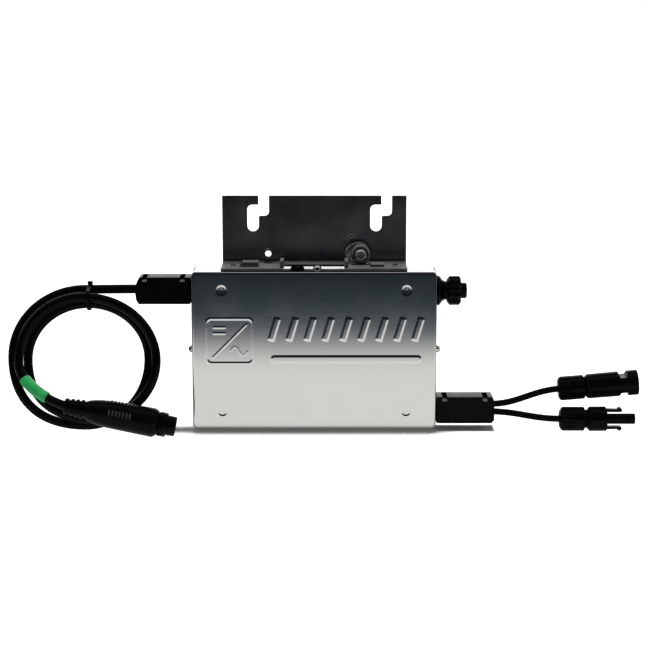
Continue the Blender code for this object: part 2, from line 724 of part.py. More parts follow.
def ac_cable_points():
    straight = 3
    first = ac_cable_start()
    top = coil_point(0.25)
    points = [first.lerp(top, step / straight) for step in range(straight)]
    steps_per_turn = 20
    count = round(2.25 * steps_per_turn)
    points += [coil_point(0.25 + step / steps_per_turn) for step in range(count + 1)]
    tail_steps = 9
    points += [ac_tail(step / tail_steps) for step in range(1, tail_steps + 1)]
    return points


def make_cable_tie():
    """A band pulled round the three strands at the top of the coil, with its lock on top."""
    x_turn = 0.235
    band_width, band_outside, band_inside = 0.0030, 0.0018, 0.0006
    lock_size = (0.0040, 0.0048, 0.0024)
    strands = [coil_point(x_turn + 0.003), coil_point(1 + x_turn), coil_point(2 + x_turn)]
    x = strands[1].x
    loops = []
    for offset in (band_outside, band_inside):
        cloud = []
        for strand in strands:
            cloud += arc((strand.y, strand.z), AC_CABLE_RADIUS + offset, 0, 345, 23)
        loops.append([cloud[index] for index in convex_hull_2d(cloud)])
    band = as_mesh(flat("cable_tie", loops, band_width, (x, 0.0, 0.0), None))
    band.rotation_euler = Matrix(((0, 0, 1), (1, 0, 0), (0, 1, 0))).to_euler()
    lock_top = max(z for _, z in loops[0])
    lock_y = strands[0].y - 0.0015
    lock = block("tie_lock", lock_size, (x, lock_y, lock_top + 0.0006), 0.0005)
    return paint(join(band, lock), "black_plastic")


def make_marker_sleeve():
    """A shrink sleeve round the cable's last stretch before the plug."""
    first, last, steps = 0.27, 0.66, 5
    centres = [ac_tail(first + (last - first) * step / steps) for step in range(steps + 1)]
    sleeve = as_mesh(tube("cable_marker_sleeve", centres, AC_CABLE_RADIUS + 0.0011, 3))
    step = (centres[0] - centres[1]).normalized() * 0.002
    end_step = (centres[-1] - centres[-2]).normalized() * 0.002
    core = as_mesh(tube("sleeve_bore", [centres[0] + step, *centres, centres[-1] + end_step], AC_CABLE_RADIUS + 0.0004, 3))
    return paint(cut(sleeve, core), "green_sleeve")


def make_ac_plug():
    """Ribbed boot, swelling, ribbed grip, smooth body and a castellated spigot that carries the locking ring."""
    start = plug_start()
    direction = plug_direction()
    outline = [(0.0, 0.0060)]
    for rib in range(4):
        along = 0.0010 + 0.0042 * rib
        outline += [(along, 0.0066 + 0.0004 * rib), (along + 0.0024, 0.0068 + 0.0004 * rib)]
        outline += [(along + 0.0026, 0.0058 + 0.0004 * rib), (along + 0.0040, 0.0059 + 0.0004 * rib)]
    outline += [(0.0200, 0.0084), (0.0290, 0.0106), (0.0370, 0.0117)]
    outline += [(0.0570, 0.0121), (0.0745, 0.0121), (0.0775, 0.0102)]
    outline += [(0.0775, 0.0070), (0.0858, 0.0070), (0.0858, 0.0084), (PLUG_LENGTH, 0.0080)]
    plug = turned("ac_plug_body", outline, start, direction)
    cut(plug, rod("plug_cable_hole", 0.0046, 0.0130, start - direction * 0.005, direction))
    cut(plug, rod("plug_mouth", 0.0058, 0.0110, start + direction * (PLUG_LENGTH - 0.0100), direction))
    insert_start = start + direction * (PLUG_LENGTH - 0.0100 + GAP)
    insert = turned("ac_plug_contacts", [(0.0, 0.0055), (0.0070, 0.0055)], insert_start, direction)
    up = Vector((math.sin(PLUG_TILT), 0.0, math.cos(PLUG_TILT)))
    for index in range(4):
        turn = math.radians(45 + 90 * index)
        offset = FRONT * (0.0026 * math.cos(turn)) + up * (0.0026 * math.sin(turn)) + direction * 0.003
        cut(insert, rod(f"plug_socket_{index}", 0.0010, 0.0060, insert_start + offset, direction, 6))
    collar_start = start + direction * (0.0775 + GAP)
    collar_length = 0.0077
    collar_outline = [(0.0, 0.0092), (0.0008, 0.0100), (collar_length - 0.0008, 0.0100), (collar_length, 0.0090)]
    collar_bore = [(0.0, 0.0074), (collar_length, 0.0074)]
    collar = turned("ac_plug_collar", collar_outline, collar_start, direction, 16, collar_bore)
    teeth = 8
    for index in range(teeth):
        turn = 2 * math.pi * index / teeth
        offset = FRONT * (0.0106 * math.cos(turn)) + up * (0.0106 * math.sin(turn)) - direction * 0.001
        cut(collar, rod(f"collar_notch_{index}", 0.0014, 0.0100, collar_start + offset, direction, 6))
    return paint(plug, "black_plastic"), paint(insert, "pale_plastic"), paint(collar, "black_plastic")


def make_ac_lead():
    axis = pivot("ac_lead_axis", ac_cable_start())
    cable = paint(tube("ac_cable", ac_cable_points(), AC_CABLE_RADIUS), "cable_jacket")
    plug, insert, collar = make_ac_plug()
    collar_axis = pivot("ac_plug_collar_axis", plug_start() + plug_direction() * 0.0775)
    carry(axis, cable, make_cable_tie(), make_marker_sleeve(), plug, insert, collar_axis)
    carry(collar_axis, collar)


# DC leads.


def dc_wire_start(side):
    """Where a DC wire begins, inside the gland's mouth; side is 1 for the upper wire and -1 for the lower."""
    return at(
        CASE_WIDTH / 2 + GLAND_NECK + DC_GLAND_LENGTH - GLAND_BORE, ENTRY_Y, DC_ENTRY_HEIGHT + side * DC_WIRE_SPLIT
    )


def make_dc_wire(name, side, start, direction):
    """A wire from the gland to inside the connector that starts at start and points along direction."""
    first = dc_wire_start(side)
    last = start + direction * 0.0240
    handle = 0.022
    enter = start - direction * handle
    steps = 10
    bend = [bezier(first, first + RIGHT * handle, enter, start, step / steps) for step in range(steps + 1)]
    return paint(tube(name, bend + [last], DC_WIRE_RADIUS), "cable_jacket")


def cable_nut(name, start, direction, length, radius):
    """The nut that clamps the wire: a plain bore at the wire's end, a wide one over the connector's spigot."""
    outline = [(0.0, radius - 0.0020), (0.0018, radius), (length - 0.0008, radius), (length, radius - 0.0010)]
    bore = [(0.0, DC_WIRE_RADIUS + 0.0004), (0.0070, DC_WIRE_RADIUS + 0.0004), (0.0070, 0.0066), (length, 0.0066)]
    nut = turned(name, outline, start, direction, 16, bore)
    up = direction.cross(FRONT)
    grips = 6
    for index in range(grips):
        turn = 2 * math.pi * index / grips
        offset = FRONT * (radius * math.cos(turn)) + up * (radius * math.sin(turn)) + direction * 0.004
        cut(nut, rod(f"{name}_grip_{index}", 0.0011, 0.012, start + offset, direction, 6))
    return paint(nut, "black_plastic")


def contact(name, start, direction, length):
    return paint(turned(name, [(0.0, 0.0022), (length, 0.0022)], start, direction, 12), "contact_tin")


def make_dc_pos_lead():
    """The upper lead, with the female connector, tilted up."""
    direction = Vector((math.cos(CONNECTOR_TILT), 0.0, math.sin(CONNECTOR_TILT)))
    start = at(0.2047, ENTRY_Y, -0.0356)
    nut_length = 0.0222
    length = 0.0672
    body_outline = [
        (0.0090, 0.0062),
        (nut_length + GAP, 0.0062),
        (nut_length + GAP, 0.0080),
        (nut_length + 0.0028, 0.0103),
        (length, 0.0106),
    ]
    body = turned("dc_pos_connector", body_outline, start, direction)
    cut(body, rod("pos_wire_hole", DC_WIRE_RADIUS + 0.0004, 0.0200, start + direction * 0.0050, direction))
    cut(body, rod("pos_mouth", 0.0042, 0.0300, start + direction * (length - 0.0280), direction, 16))
    up = direction.cross(FRONT)
    for side in (-1, 1):
        window = start + direction * 0.0548 + up * (side * 0.0097)
        cut(body, block(f"pos_window_{side}", (0.0300, 0.0052, 0.0064), window, direction=direction))
    socket = contact("dc_pos_contact", start + direction * (length - 0.0270), direction, 0.0200)
    nut = cable_nut("dc_pos_nut", start, direction, nut_length, 0.0101)
    wire = make_dc_wire("dc_pos_wire", 1, start, direction)
    axis = pivot("dc_pos_lead_axis", dc_wire_start(1))
    nut_axis = pivot("dc_pos_nut_axis", start)
    carry(axis, wire, paint(body, "black_plastic"), socket, nut_axis)
    carry(nut_axis, nut)


def latch_arm(name, root, side):
    """A springy arm with a hooked tip, side 1 above the tube and -1 below it."""
    length = 0.0178
    outline = [
        (0.0, 0.0),
        (0.0, 0.0024),
        (length - 0.0042, 0.0020),
        (length - 0.0034, 0.0034),
        (length - 0.0008, 0.0032),
        (length, 0.0014),
        (length - 0.0010, 0.0),
    ]
    if side < 0:
        outline = [(x, -z) for x, z in outline]
    arm = flat(name, [outline], 0.0060, root, FRONT)
    return paint(as_mesh(arm), "black_plastic")


def make_dc_neg_lead():
    """The lower lead, with the male connector and its two latch arms."""
    direction = RIGHT
    start = at(0.2040, -0.0400, -0.0563)
    nut_length = 0.0207
    collar_end = 0.0389
    length = 0.0627
    body_outline = [
        (0.0090, 0.0062),
        (nut_length + GAP, 0.0062),
        (nut_length + GAP, 0.0076),
        (nut_length + 0.0020, 0.0076),
        (nut_length + 0.0042, 0.0102),
        (collar_end, 0.0102),
        (collar_end, 0.0064),
        (collar_end + 0.0015, 0.0044),
        (length, 0.0044),
    ]
    body = turned("dc_neg_connector", body_outline, start, direction)
    cut(body, rod("neg_wire_hole", DC_WIRE_RADIUS + 0.0004, 0.0200, start + direction * 0.0050, direction))
    cut(body, rod("neg_mouth", 0.0026, 0.0250, start + direction * (length - 0.0230), direction, 12))
    nut = cable_nut("dc_neg_nut", start, direction, nut_length, 0.0100)
    pin = contact("dc_neg_contact", start + direction * (length - 0.0220), direction, 0.0170)
    wire = make_dc_wire("dc_neg_wire", -1, start, direction)
    axis = pivot("dc_neg_lead_axis", dc_wire_start(-1))
    nut_axis = pivot("dc_neg_nut_axis", start)
    arms = []
    for name, side in (("dc_neg_latch_upper", 1), ("dc_neg_latch_lower", -1)):
        root = start + direction * (collar_end - 0.0048) + UP * (side * 0.0062)
        pocket = root + UP * (side * 0.0035) + direction * 0.0025
        cut(body, block(f"{name}_pocket", (0.0060, 0.0068, 0.0080), pocket))
        arm = latch_arm(name, root, side)
        arm_axis = pivot(f"{name}_axis", root + UP * (side * 0.0012))
        arms.append(arm_axis)
        carry(arm_axis, arm)
    carry(axis, wire, paint(body, "black_plastic"), pin, nut_axis, *arms)
    carry(nut_axis, nut)


# Inside the case.


def board_face():
    """The y of the board's front face, where its components stand."""
    return BOARD_BACK - BOARD_THICKNESS - GAP


def standing(name, size, x, height, finish, rounding=0.0):
    """A component on the board: size is its width, how far it stands off the board, and its height."""
    centre = at(x, board_face() - size[1] / 2, height)
    return paint(block(name, size, centre, rounding), finish)


def make_board():
    post_x, post_height = BOARD_WIDTH / 2 - 0.006, BOARD_HEIGHT / 2 - 0.006
    film_y = CASE_BACK - SHEET - GAP - 0.0002
    film = block("insulation_sheet", (0.188, 0.0004, 0.118), at(0.0, film_y, 0.0))
    carrier_thickness = 0.0038
    carrier_y = BOARD_BACK + GAP + carrier_thickness / 2
    outlines = [rounded_rectangle(0.186, 0.116, 0.004, steps=2), rounded_rectangle(0.166, 0.096, 0.004, steps=2)]
    carrier = as_mesh(flat("board_carrier", outlines, carrier_thickness, at(0.0, carrier_y, 0.0), FRONT))
    board = block("main_board", (BOARD_WIDTH, BOARD_THICKNESS, BOARD_HEIGHT),
                  at(0.0, BOARD_BACK - BOARD_THICKNESS / 2, 0.0))
    for side_x in (-1, 1):
        for side_z in (-1, 1):
            foot = at(side_x * post_x, carrier_y, side_z * post_height)
            tag = f"{side_x}_{side_z}"
            join(carrier, rod(f"carrier_post_{tag}", 0.0016, 0.0070, foot, FRONT, 10))
            cut(board, rod(f"board_hole_{tag}", 0.0021, 0.0120, foot, FRONT, 12))
    paint(film, "insulation_film")
    paint(carrier, "black_plastic")
    paint(board, "board_green")


def make_capacitors():
    radius, length = 0.0080, 0.0200
    spots = ((0.062, -0.044), (0.062, -0.026), (0.044, -0.044), (0.044, -0.026))
    for index, (x, height) in enumerate(spots, 1):
        outline = [(0.0, radius - 0.0006), (0.0012, radius), (length - 0.0008, radius), (length, radius - 0.0008)]
        start = at(x, board_face(), height)
        paint(turned(f"dc_bus_capacitor_{index}", outline, start, FRONT, 16), "capacitor_sleeve")


def make_transformers():
    """Two flyback transformers: a wound bobbin in the window of a ferrite frame."""
    for index, x in enumerate((0.030, -0.010), 1):
        centre_y = board_face() - 0.0095
        window = (0.0200, 0.0160)
        outlines = [rounded_rectangle(0.0320, 0.0280, 0.0010, steps=1), rounded_rectangle(*window, 0.0005, steps=1)]
        core = flat(f"transformer_core_{index}", outlines, 0.0140, at(x, centre_y, 0.012), FRONT)
        paint(core, "ferrite")
        bobbin_size = (window[0] - 2 * GAP, 0.0186, window[1] - 2 * GAP)
        bobbin = block(f"transformer_winding_{index}", bobbin_size, at(x, centre_y, 0.012), 0.0022, 2)
        paint(bobbin, "copper")


def make_heat_path():
    """Two power transistors on a spreader bar that meets the cover through a soft pad."""
    cover_inside = CASE_FRONT + SHEET
    pad_thickness = 0.0010
    pad_y = cover_inside + GAP + pad_thickness / 2
    paint(block("thermal_pad", (0.116, pad_thickness, 0.006), at(0.0, pad_y, 0.050)), "pale_plastic")
    spreader_front = cover_inside + 2 * GAP + pad_thickness
    depth = board_face() - spreader_front
    spreader = block("heat_spreader", (0.120, depth, 0.008), at(0.0, board_face() - depth / 2, 0.050), 0.0006)
    paint(spreader, "brushed_aluminium")
    for index, x in enumerate((0.026, -0.026), 1):
        transistor = block(f"power_transistor_{index}", (0.0102, 0.0155, 0.0045), at(x, board_face() - 0.0085, 0.0434))
        paint(transistor, "ferrite")


def make_small_components():
    standing("control_chip", (0.014, 0.0022, 0.014), -0.028, -0.030, "ferrite", 0.0003)
    standing("film_capacitor", (0.026, 0.014, 0.012), -0.066, -0.036, "pale_plastic", 0.0010)
    standing("relay", (0.018, 0.015, 0.012), -0.045, 0.030, "ferrite", 0.0006)
    standing("ac_terminal_block", (0.012, 0.013, 0.018), -0.082, 0.040, "pale_plastic", 0.0006)
    standing("dc_terminal_block", (0.012, 0.013, 0.018), 0.082, -0.040, "pale_plastic", 0.0006)
    choke_start = at(-0.062, board_face(), -0.003)
    choke_outline = [(0.0, 0.0118), (0.0012, 0.0130), (0.0088, 0.0130), (0.0100, 0.0118)]
    choke_bore = [(0.0, 0.0066), (0.0012, 0.0054), (0.0088, 0.0054), (0.0100, 0.0066)]
    paint(turned("line_choke", choke_outline, choke_start, FRONT, 16, choke_bore), "copper")
    fuse_outline = [(0.0, 0.0026), (0.004, 0.0026), (0.004, 0.0023), (0.016, 0.0023), (0.016, 0.0026), (0.020, 0.0026)]
    paint(turned("fuse", fuse_outline, at(-0.064, board_face() - 0.004, 0.022), UP, 12), "glass_tube")


def make_inside():
    make_board()
    make_capacitors()
    make_transformers()
    make_heat_path()
    make_small_components()


def build():
    make_front_cover()
    make_case_seal()
    make_back_pan()
    make_side_screws()
    make_top_fittings()
    _, flange_top = make_bracket()
    make_bracket_fittings(flange_top)
    make_ground_hardware()
    make_ac_gland()
    make_dc_gland()
    make_port()
    make_ac_lead()
    make_dc_pos_lead()
    make_dc_neg_lead()
    make_inside()


build()
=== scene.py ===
"""The looks of a micro inverter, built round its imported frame.

Lengths are metres in the frame's own axes: +Z is up and the object faces -Y. The frame gives the places
of the solids and joints; the constants below shape what is finer than the solids, and the cables' paths.
"""

import json
import math

import bmesh
import bpy
import numpy as np
from mathutils import Matrix, Vector


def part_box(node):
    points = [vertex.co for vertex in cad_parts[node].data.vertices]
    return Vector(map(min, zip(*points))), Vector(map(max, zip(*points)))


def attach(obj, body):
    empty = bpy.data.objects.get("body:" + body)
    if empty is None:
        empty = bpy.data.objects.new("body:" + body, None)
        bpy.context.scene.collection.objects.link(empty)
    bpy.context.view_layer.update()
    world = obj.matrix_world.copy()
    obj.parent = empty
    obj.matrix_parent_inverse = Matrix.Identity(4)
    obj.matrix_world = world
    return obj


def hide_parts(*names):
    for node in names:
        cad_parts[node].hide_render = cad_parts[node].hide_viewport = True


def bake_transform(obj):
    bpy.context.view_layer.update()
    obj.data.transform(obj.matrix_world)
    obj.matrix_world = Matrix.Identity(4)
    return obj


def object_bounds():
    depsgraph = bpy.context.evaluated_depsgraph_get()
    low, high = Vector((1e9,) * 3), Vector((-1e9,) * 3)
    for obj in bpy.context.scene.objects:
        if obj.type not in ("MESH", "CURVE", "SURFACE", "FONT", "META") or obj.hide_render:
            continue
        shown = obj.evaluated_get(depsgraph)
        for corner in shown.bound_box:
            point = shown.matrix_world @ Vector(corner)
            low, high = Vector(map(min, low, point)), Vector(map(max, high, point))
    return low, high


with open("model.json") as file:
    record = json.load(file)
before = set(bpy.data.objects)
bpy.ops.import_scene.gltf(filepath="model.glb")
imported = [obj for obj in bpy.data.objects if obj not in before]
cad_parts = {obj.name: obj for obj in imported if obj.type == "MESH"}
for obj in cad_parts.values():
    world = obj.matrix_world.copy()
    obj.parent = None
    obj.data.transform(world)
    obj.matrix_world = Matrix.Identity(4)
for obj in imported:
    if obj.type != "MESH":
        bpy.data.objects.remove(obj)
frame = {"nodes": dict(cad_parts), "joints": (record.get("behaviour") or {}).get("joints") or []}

CAD_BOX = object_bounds()
MERGE = 0.00001
ROUND = 64  # steps round a turned piece

LEFT = Vector((-1.0, 0.0, 0.0))
RIGHT = Vector((1.0, 0.0, 0.0))
FRONT = Vector((0.0, -1.0, 0.0))
UP = Vector((0.0, 0.0, 1.0))

# Case.
COVER_LOW, COVER_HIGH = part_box("front_cover")
PAN_LOW, PAN_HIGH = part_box("back_pan")
PATTERN_HEIGHT = 0.0008
CASE_WIDTH = COVER_HIGH.x - COVER_LOW.x
CASE_HEIGHT = COVER_HIGH.z - COVER_LOW.z
CASE_CENTRE = (COVER_HIGH.z + COVER_LOW.z) / 2
CASE_FRONT = COVER_LOW.y + PATTERN_HEIGHT
CASE_BACK = COVER_HIGH.y
SHEET = 0.0015
COVER_CORNER = 0.0037
COVER_ROLL = 0.0020
PAN_DEPTH = 0.0070
PAN_CORNER = 0.0022
PAN_ROLL = 0.0018
DIMPLE_X = 0.0765
DIMPLE_HEIGHT = 0.0510
DIMPLE_RADIUS = 0.0047
DIMPLE_DEPTH = 0.0003
DIMPLE_CORE = 0.0001

# Leads.
JOINTS = {joint["child"]: joint for joint in frame["joints"]}
AC_LEAD_START = Vector(JOINTS["ac_lead"]["pos_m"])
DC_POS_START = Vector(JOINTS["dc_pos_lead"]["pos_m"])
DC_NEG_START = Vector(JOINTS["dc_neg_lead"]["pos_m"])
AC_GLAND_LENGTH = 0.0461
DC_GLAND_LENGTH = 0.0489
AC_CABLE_RADIUS = 0.0038
DC_WIRE_RADIUS = 0.0027
COIL_X = -0.191
COIL_HEIGHT = -0.00675
COIL_HALF_WIDTH = 0.0604
COIL_HALF_HEIGHT = 0.05605
COIL_PITCH = 0.0082
COIL_LEAN = 0.12
COIL_SAG = 0.045
PLUG_LENGTH = 0.0926
COLLAR_PLACE = 0.0775


def at(x, y, height):
    """A point given by its height above the case's centre."""
    return Vector((x, y, CASE_CENTRE + height))


def base_of(node, direction, axis=None):
    """Where a node starts along direction, on its middle line or on axis, and its length that way."""
    low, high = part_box(node)
    line = (low + high) / 2 if axis is None else axis
    ends = sorted((low.dot(direction), high.dot(direction)))
    return line + direction * (ends[0] - line.dot(direction)), ends[1] - ends[0]


# Mesh tools.


def add_piece(name, shape, sharp_degrees=38.0):
    """A new object from a bmesh, smooth except where its faces meet at more than sharp_degrees."""
    bmesh.ops.recalc_face_normals(shape, faces=shape.faces)
    mesh = bpy.data.meshes.new(name)
    shape.to_mesh(mesh)
    shape.free()
    mesh.shade_smooth()
    mesh.set_sharp_from_angle(angle=math.radians(sharp_degrees))
    piece = bpy.data.objects.new(name, mesh)
    bpy.context.scene.collection.objects.link(piece)
    return piece


def level_shading(piece):
    """Large flat faces keep their shade right up to the rounded edges round them."""
    modifier = piece.modifiers.new("level_shading", "WEIGHTED_NORMAL")
    modifier.keep_sharp = True
    modifier.weight = 100
    return piece


def settle(piece, slot, body, *nodes):
    """Gives a piece its material and its body; nodes are the frame's nodes that it stands for.

    Only pieces on the case cast a shadow.
    """
    piece.data.materials.clear()
    piece.data.materials.append(MATERIALS[slot])
    if nodes:
        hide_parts(*nodes)
    if body:
        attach(piece, body)
    piece.visible_shadow = body == "case"
    return piece


def arc(centre, radius, start_degrees, end_degrees, steps):
    """Points along an arc, both ends included; radius is one number, or a pair for an ellipse."""
    wide, high = radius if isinstance(radius, tuple) else (radius, radius)
    sweep_degrees = end_degrees - start_degrees
    turns = [math.radians(start_degrees + sweep_degrees * i / steps) for i in range(steps + 1)]
    return [(centre[0] + wide * math.cos(a), centre[1] + high * math.sin(a)) for a in turns]


def rounded_rectangle(width, height, corner, centre=(0.0, 0.0), steps=6):
    outline = []
    for quarter, (side_x, side_y) in enumerate(((1, 1), (-1, 1), (-1, -1), (1, -1))):
        middle_x = centre[0] + side_x * (width / 2 - corner)
        middle_y = centre[1] + side_y * (height / 2 - corner)
        outline += arc((middle_x, middle_y), corner, 90 * quarter, 90 * quarter + 90, steps)
    return outline


def eased(points, radius, closed=False, steps=3):
    """Rounds a polyline's corners, by radius or by as much as the lines beside them allow."""
    count = len(points)
    result = []
    for index, point in enumerate(points):
        if not closed and index in (0, count - 1):
            result.append(tuple(point))
            continue
        here = Vector(point)
        before = Vector(points[index - 1]) - here
        after = Vector(points[(index + 1) % count]) - here
        reach = min(radius, before.length * 0.45, after.length * 0.45)
        first = here + before.normalized() * reach
        last = here + after.normalized() * reach
        for step in range(steps + 1):
            share = step / steps
            middle = here * (2 * share * (1 - share))
            result.append(tuple(first * (1 - share) ** 2 + middle + last * share**2))
    return result


def finer(points, spacing, closed=False):
    """Adds points so that no stretch is longer than spacing."""
    result = []
    pairs = list(zip(points, points[1:] + points[:1]))
    for start, end in pairs if closed else pairs[:-1]:
        stretch = Vector(end) - Vector(start)
        pieces = max(1, math.ceil(stretch.length / spacing))
        result += [tuple(Vector(start) + stretch * (step / pieces)) for step in range(pieces)]
    return result if closed else result + [tuple(points[-1])]


def ring_faces(shape, rings, closed_path):
    """Joins rings of vertices into a skin."""
    pairs = list(zip(rings, rings[1:]))
    if closed_path:
        pairs.append((rings[-1], rings[0]))
    for first, second in pairs:
        for index in range(len(first)):
            following = (index + 1) % len(first)
            shape.faces.new((first[index], first[following], second[following], second[index]))


def across(direction):
    """Two directions square to direction: upwards as far as it goes, and to the side."""
    upward = UP if abs(direction.dot(UP)) < 0.9 else FRONT
    first = (upward - direction * upward.dot(direction)).normalized()
    return first, direction.cross(first)


def turn_round(
    shape, outline, start, direction,
    bore=(), form=None, worn=None, ease=0.0004, spacing=None, steps=ROUND,
):
    """Adds a turned solid to shape, from (distance along, radius) points; bore is its hole.

    form(along, radius, turn) may change the radius, and the function after it gives the strength of a
    highlight painted on the vertices there; turn 0 is up.
    """
    # a vertex layer that holds the painted highlight's strength
    highlight_layer = shape.verts.layers.float.new("worn") if worn else None
    direction = Vector(direction).normalized()
    first, second = across(direction)
    path = eased(list(outline) + list(bore)[::-1], ease, closed=bool(bore))
    if spacing:
        path = finer(path, spacing, closed=bool(bore))
    rings = []
    for along, radius in path:
        ring = []
        for step in range(steps):
            turn = 2 * math.pi * step / steps
            reach = form(along, radius, turn) if form else radius
            side = first * math.cos(turn) + second * math.sin(turn)
            vertex = shape.verts.new(Vector(start) + direction * along + side * reach)
            if worn:
                vertex[highlight_layer] = worn(along, radius, turn)
            ring.append(vertex)
        rings.append(ring)
    ring_faces(shape, rings, bool(bore))
    if not bore:
        shape.faces.new(rings[0])
        shape.faces.new(rings[-1])


def turned(name, outline, start, direction, **settings):
    shape = bmesh.new()
    turn_round(shape, outline, start, direction, **settings)
    return add_piece(name, shape)


def sweep(shape, points, radius, sides=28):
    """Adds a round tube along points; radius is a number, or a function of the share of the way along."""
    points = [Vector(point) for point in points]
    tangents = [(after - before).normalized() for before, after in zip(points, points[1:])]
    between = [(before + after).normalized() for before, after in zip(tangents, tangents[1:])]
    tangents = [tangents[0], *between, tangents[-1]]
    first, _ = across(tangents[0])
    rings = []
    for index, (point, tangent) in enumerate(zip(points, tangents)):
        first = (first - tangent * first.dot(tangent)).normalized()
        second = tangent.cross(first)
        reach = radius(index / (len(points) - 1)) if callable(radius) else radius
        turns = [2 * math.pi * step / sides for step in range(sides)]
        ring = [point + (first * math.cos(turn) + second * math.sin(turn)) * reach for turn in turns]
        rings.append([shape.verts.new(place) for place in ring])
    ring_faces(shape, rings, False)
    shape.faces.new(rings[0])
    shape.faces.new(rings[-1])


def tube(name, points, radius, sides=28):
    shape = bmesh.new()
    sweep(shape, points, radius, sides)
    return add_piece(name, shape, 60.0)


def plate(name, outlines, thickness, centre, direction, edge=0.0003, edge_steps=2):
    """A flat piece cut to closed outlines, its edges rounded; its own Y is kept upright."""
    path = bpy.data.curves.new(name, "CURVE")
    path.dimensions = "2D"
    path.fill_mode = "BOTH"
    path.extrude = thickness / 2 - edge
    path.bevel_depth = edge
    path.bevel_resolution = edge_steps
    path.offset = -edge
    path.resolution_u = 1
    for outline in outlines:
        spline = path.splines.new("POLY")
        spline.points.add(len(outline) - 1)
        for knot, (x, y) in zip(spline.points, outline):
            knot.co = (x, y, 0.0, 1.0)
        spline.use_cyclic_u = True
    guide = bpy.data.objects.new(name, path)
    bpy.context.scene.collection.objects.link(guide)
    bpy.context.view_layer.update()
    evaluated = guide.evaluated_get(bpy.context.evaluated_depsgraph_get())
    mesh = bpy.data.meshes.new_from_object(evaluated)
    bpy.data.objects.remove(guide)
    shape = bmesh.new()
    shape.from_mesh(mesh)
    bmesh.ops.remove_doubles(shape, verts=shape.verts, dist=MERGE / 2)
    upright, _ = across(Vector(direction))
    sideways = upright.cross(Vector(direction))
    turn = Matrix((sideways, upright, Vector(direction))).transposed().to_4x4()
    bmesh.ops.transform(shape, matrix=Matrix.Translation(Vector(centre)) @ turn, verts=shape.verts)
    return add_piece(name, shape, 50.0)


def rounded_block(shape, low, high, radius, segments=4):
    """Adds a box between two corners, with rounded edges."""
    size = Vector(high) - Vector(low)
    made = bmesh.ops.create_cube(shape, size=1.0)["verts"]
    bmesh.ops.scale(shape, vec=size, verts=made)
    bmesh.ops.translate(shape, vec=(Vector(high) + Vector(low)) / 2, verts=made)
    edges = list({edge for vertex in made for edge in vertex.link_edges})
    bmesh.ops.bevel(shape, geom=edges, offset=radius, segments=segments, profile=0.5, affect="EDGES")


def carve(piece, *cutters):
    """Cuts the cutters out of a piece and removes them."""
    for cutter in cutters:
        modifier = piece.modifiers.new(cutter.name, "BOOLEAN")
        modifier.operation = "DIFFERENCE"
        modifier.solver = "EXACT"
        modifier.object = cutter
    bpy.context.view_layer.update()
    evaluated = piece.evaluated_get(bpy.context.evaluated_depsgraph_get())
    shape = bmesh.new()
    shape.from_mesh(evaluated.to_mesh())
    name = piece.name
    for thing in (piece, *cutters):
        bpy.data.objects.remove(thing)
    bmesh.ops.remove_doubles(shape, verts=shape.verts, dist=MERGE / 2)
    return level_shading(add_piece(name, shape))


def refined(name, node, edge):
    """A copy of a node's solid with its sharp edges rounded."""
    sharp_angle = math.radians(33.0)
    shape = bmesh.new()
    shape.from_mesh(frame["nodes"][node].data)
    bmesh.ops.remove_doubles(shape, verts=shape.verts, dist=MERGE)
    flat = math.radians(1.0)
    bmesh.ops.dissolve_limit(shape, angle_limit=flat, verts=shape.verts, edges=shape.edges)
    folds = [fold for fold in shape.edges if len(fold.link_faces) == 2]
    sharp = [fold for fold in folds if fold.calc_face_angle() > sharp_angle]
    bmesh.ops.bevel(
        shape, geom=sharp, offset=edge, segments=2, profile=0.5, affect="EDGES", clamp_overlap=True
    )
    return level_shading(add_piece(name, shape))


# Materials.

FAINT_GLOSS = 0.06  # black plastic and rubber reflect less than the usual 0.5


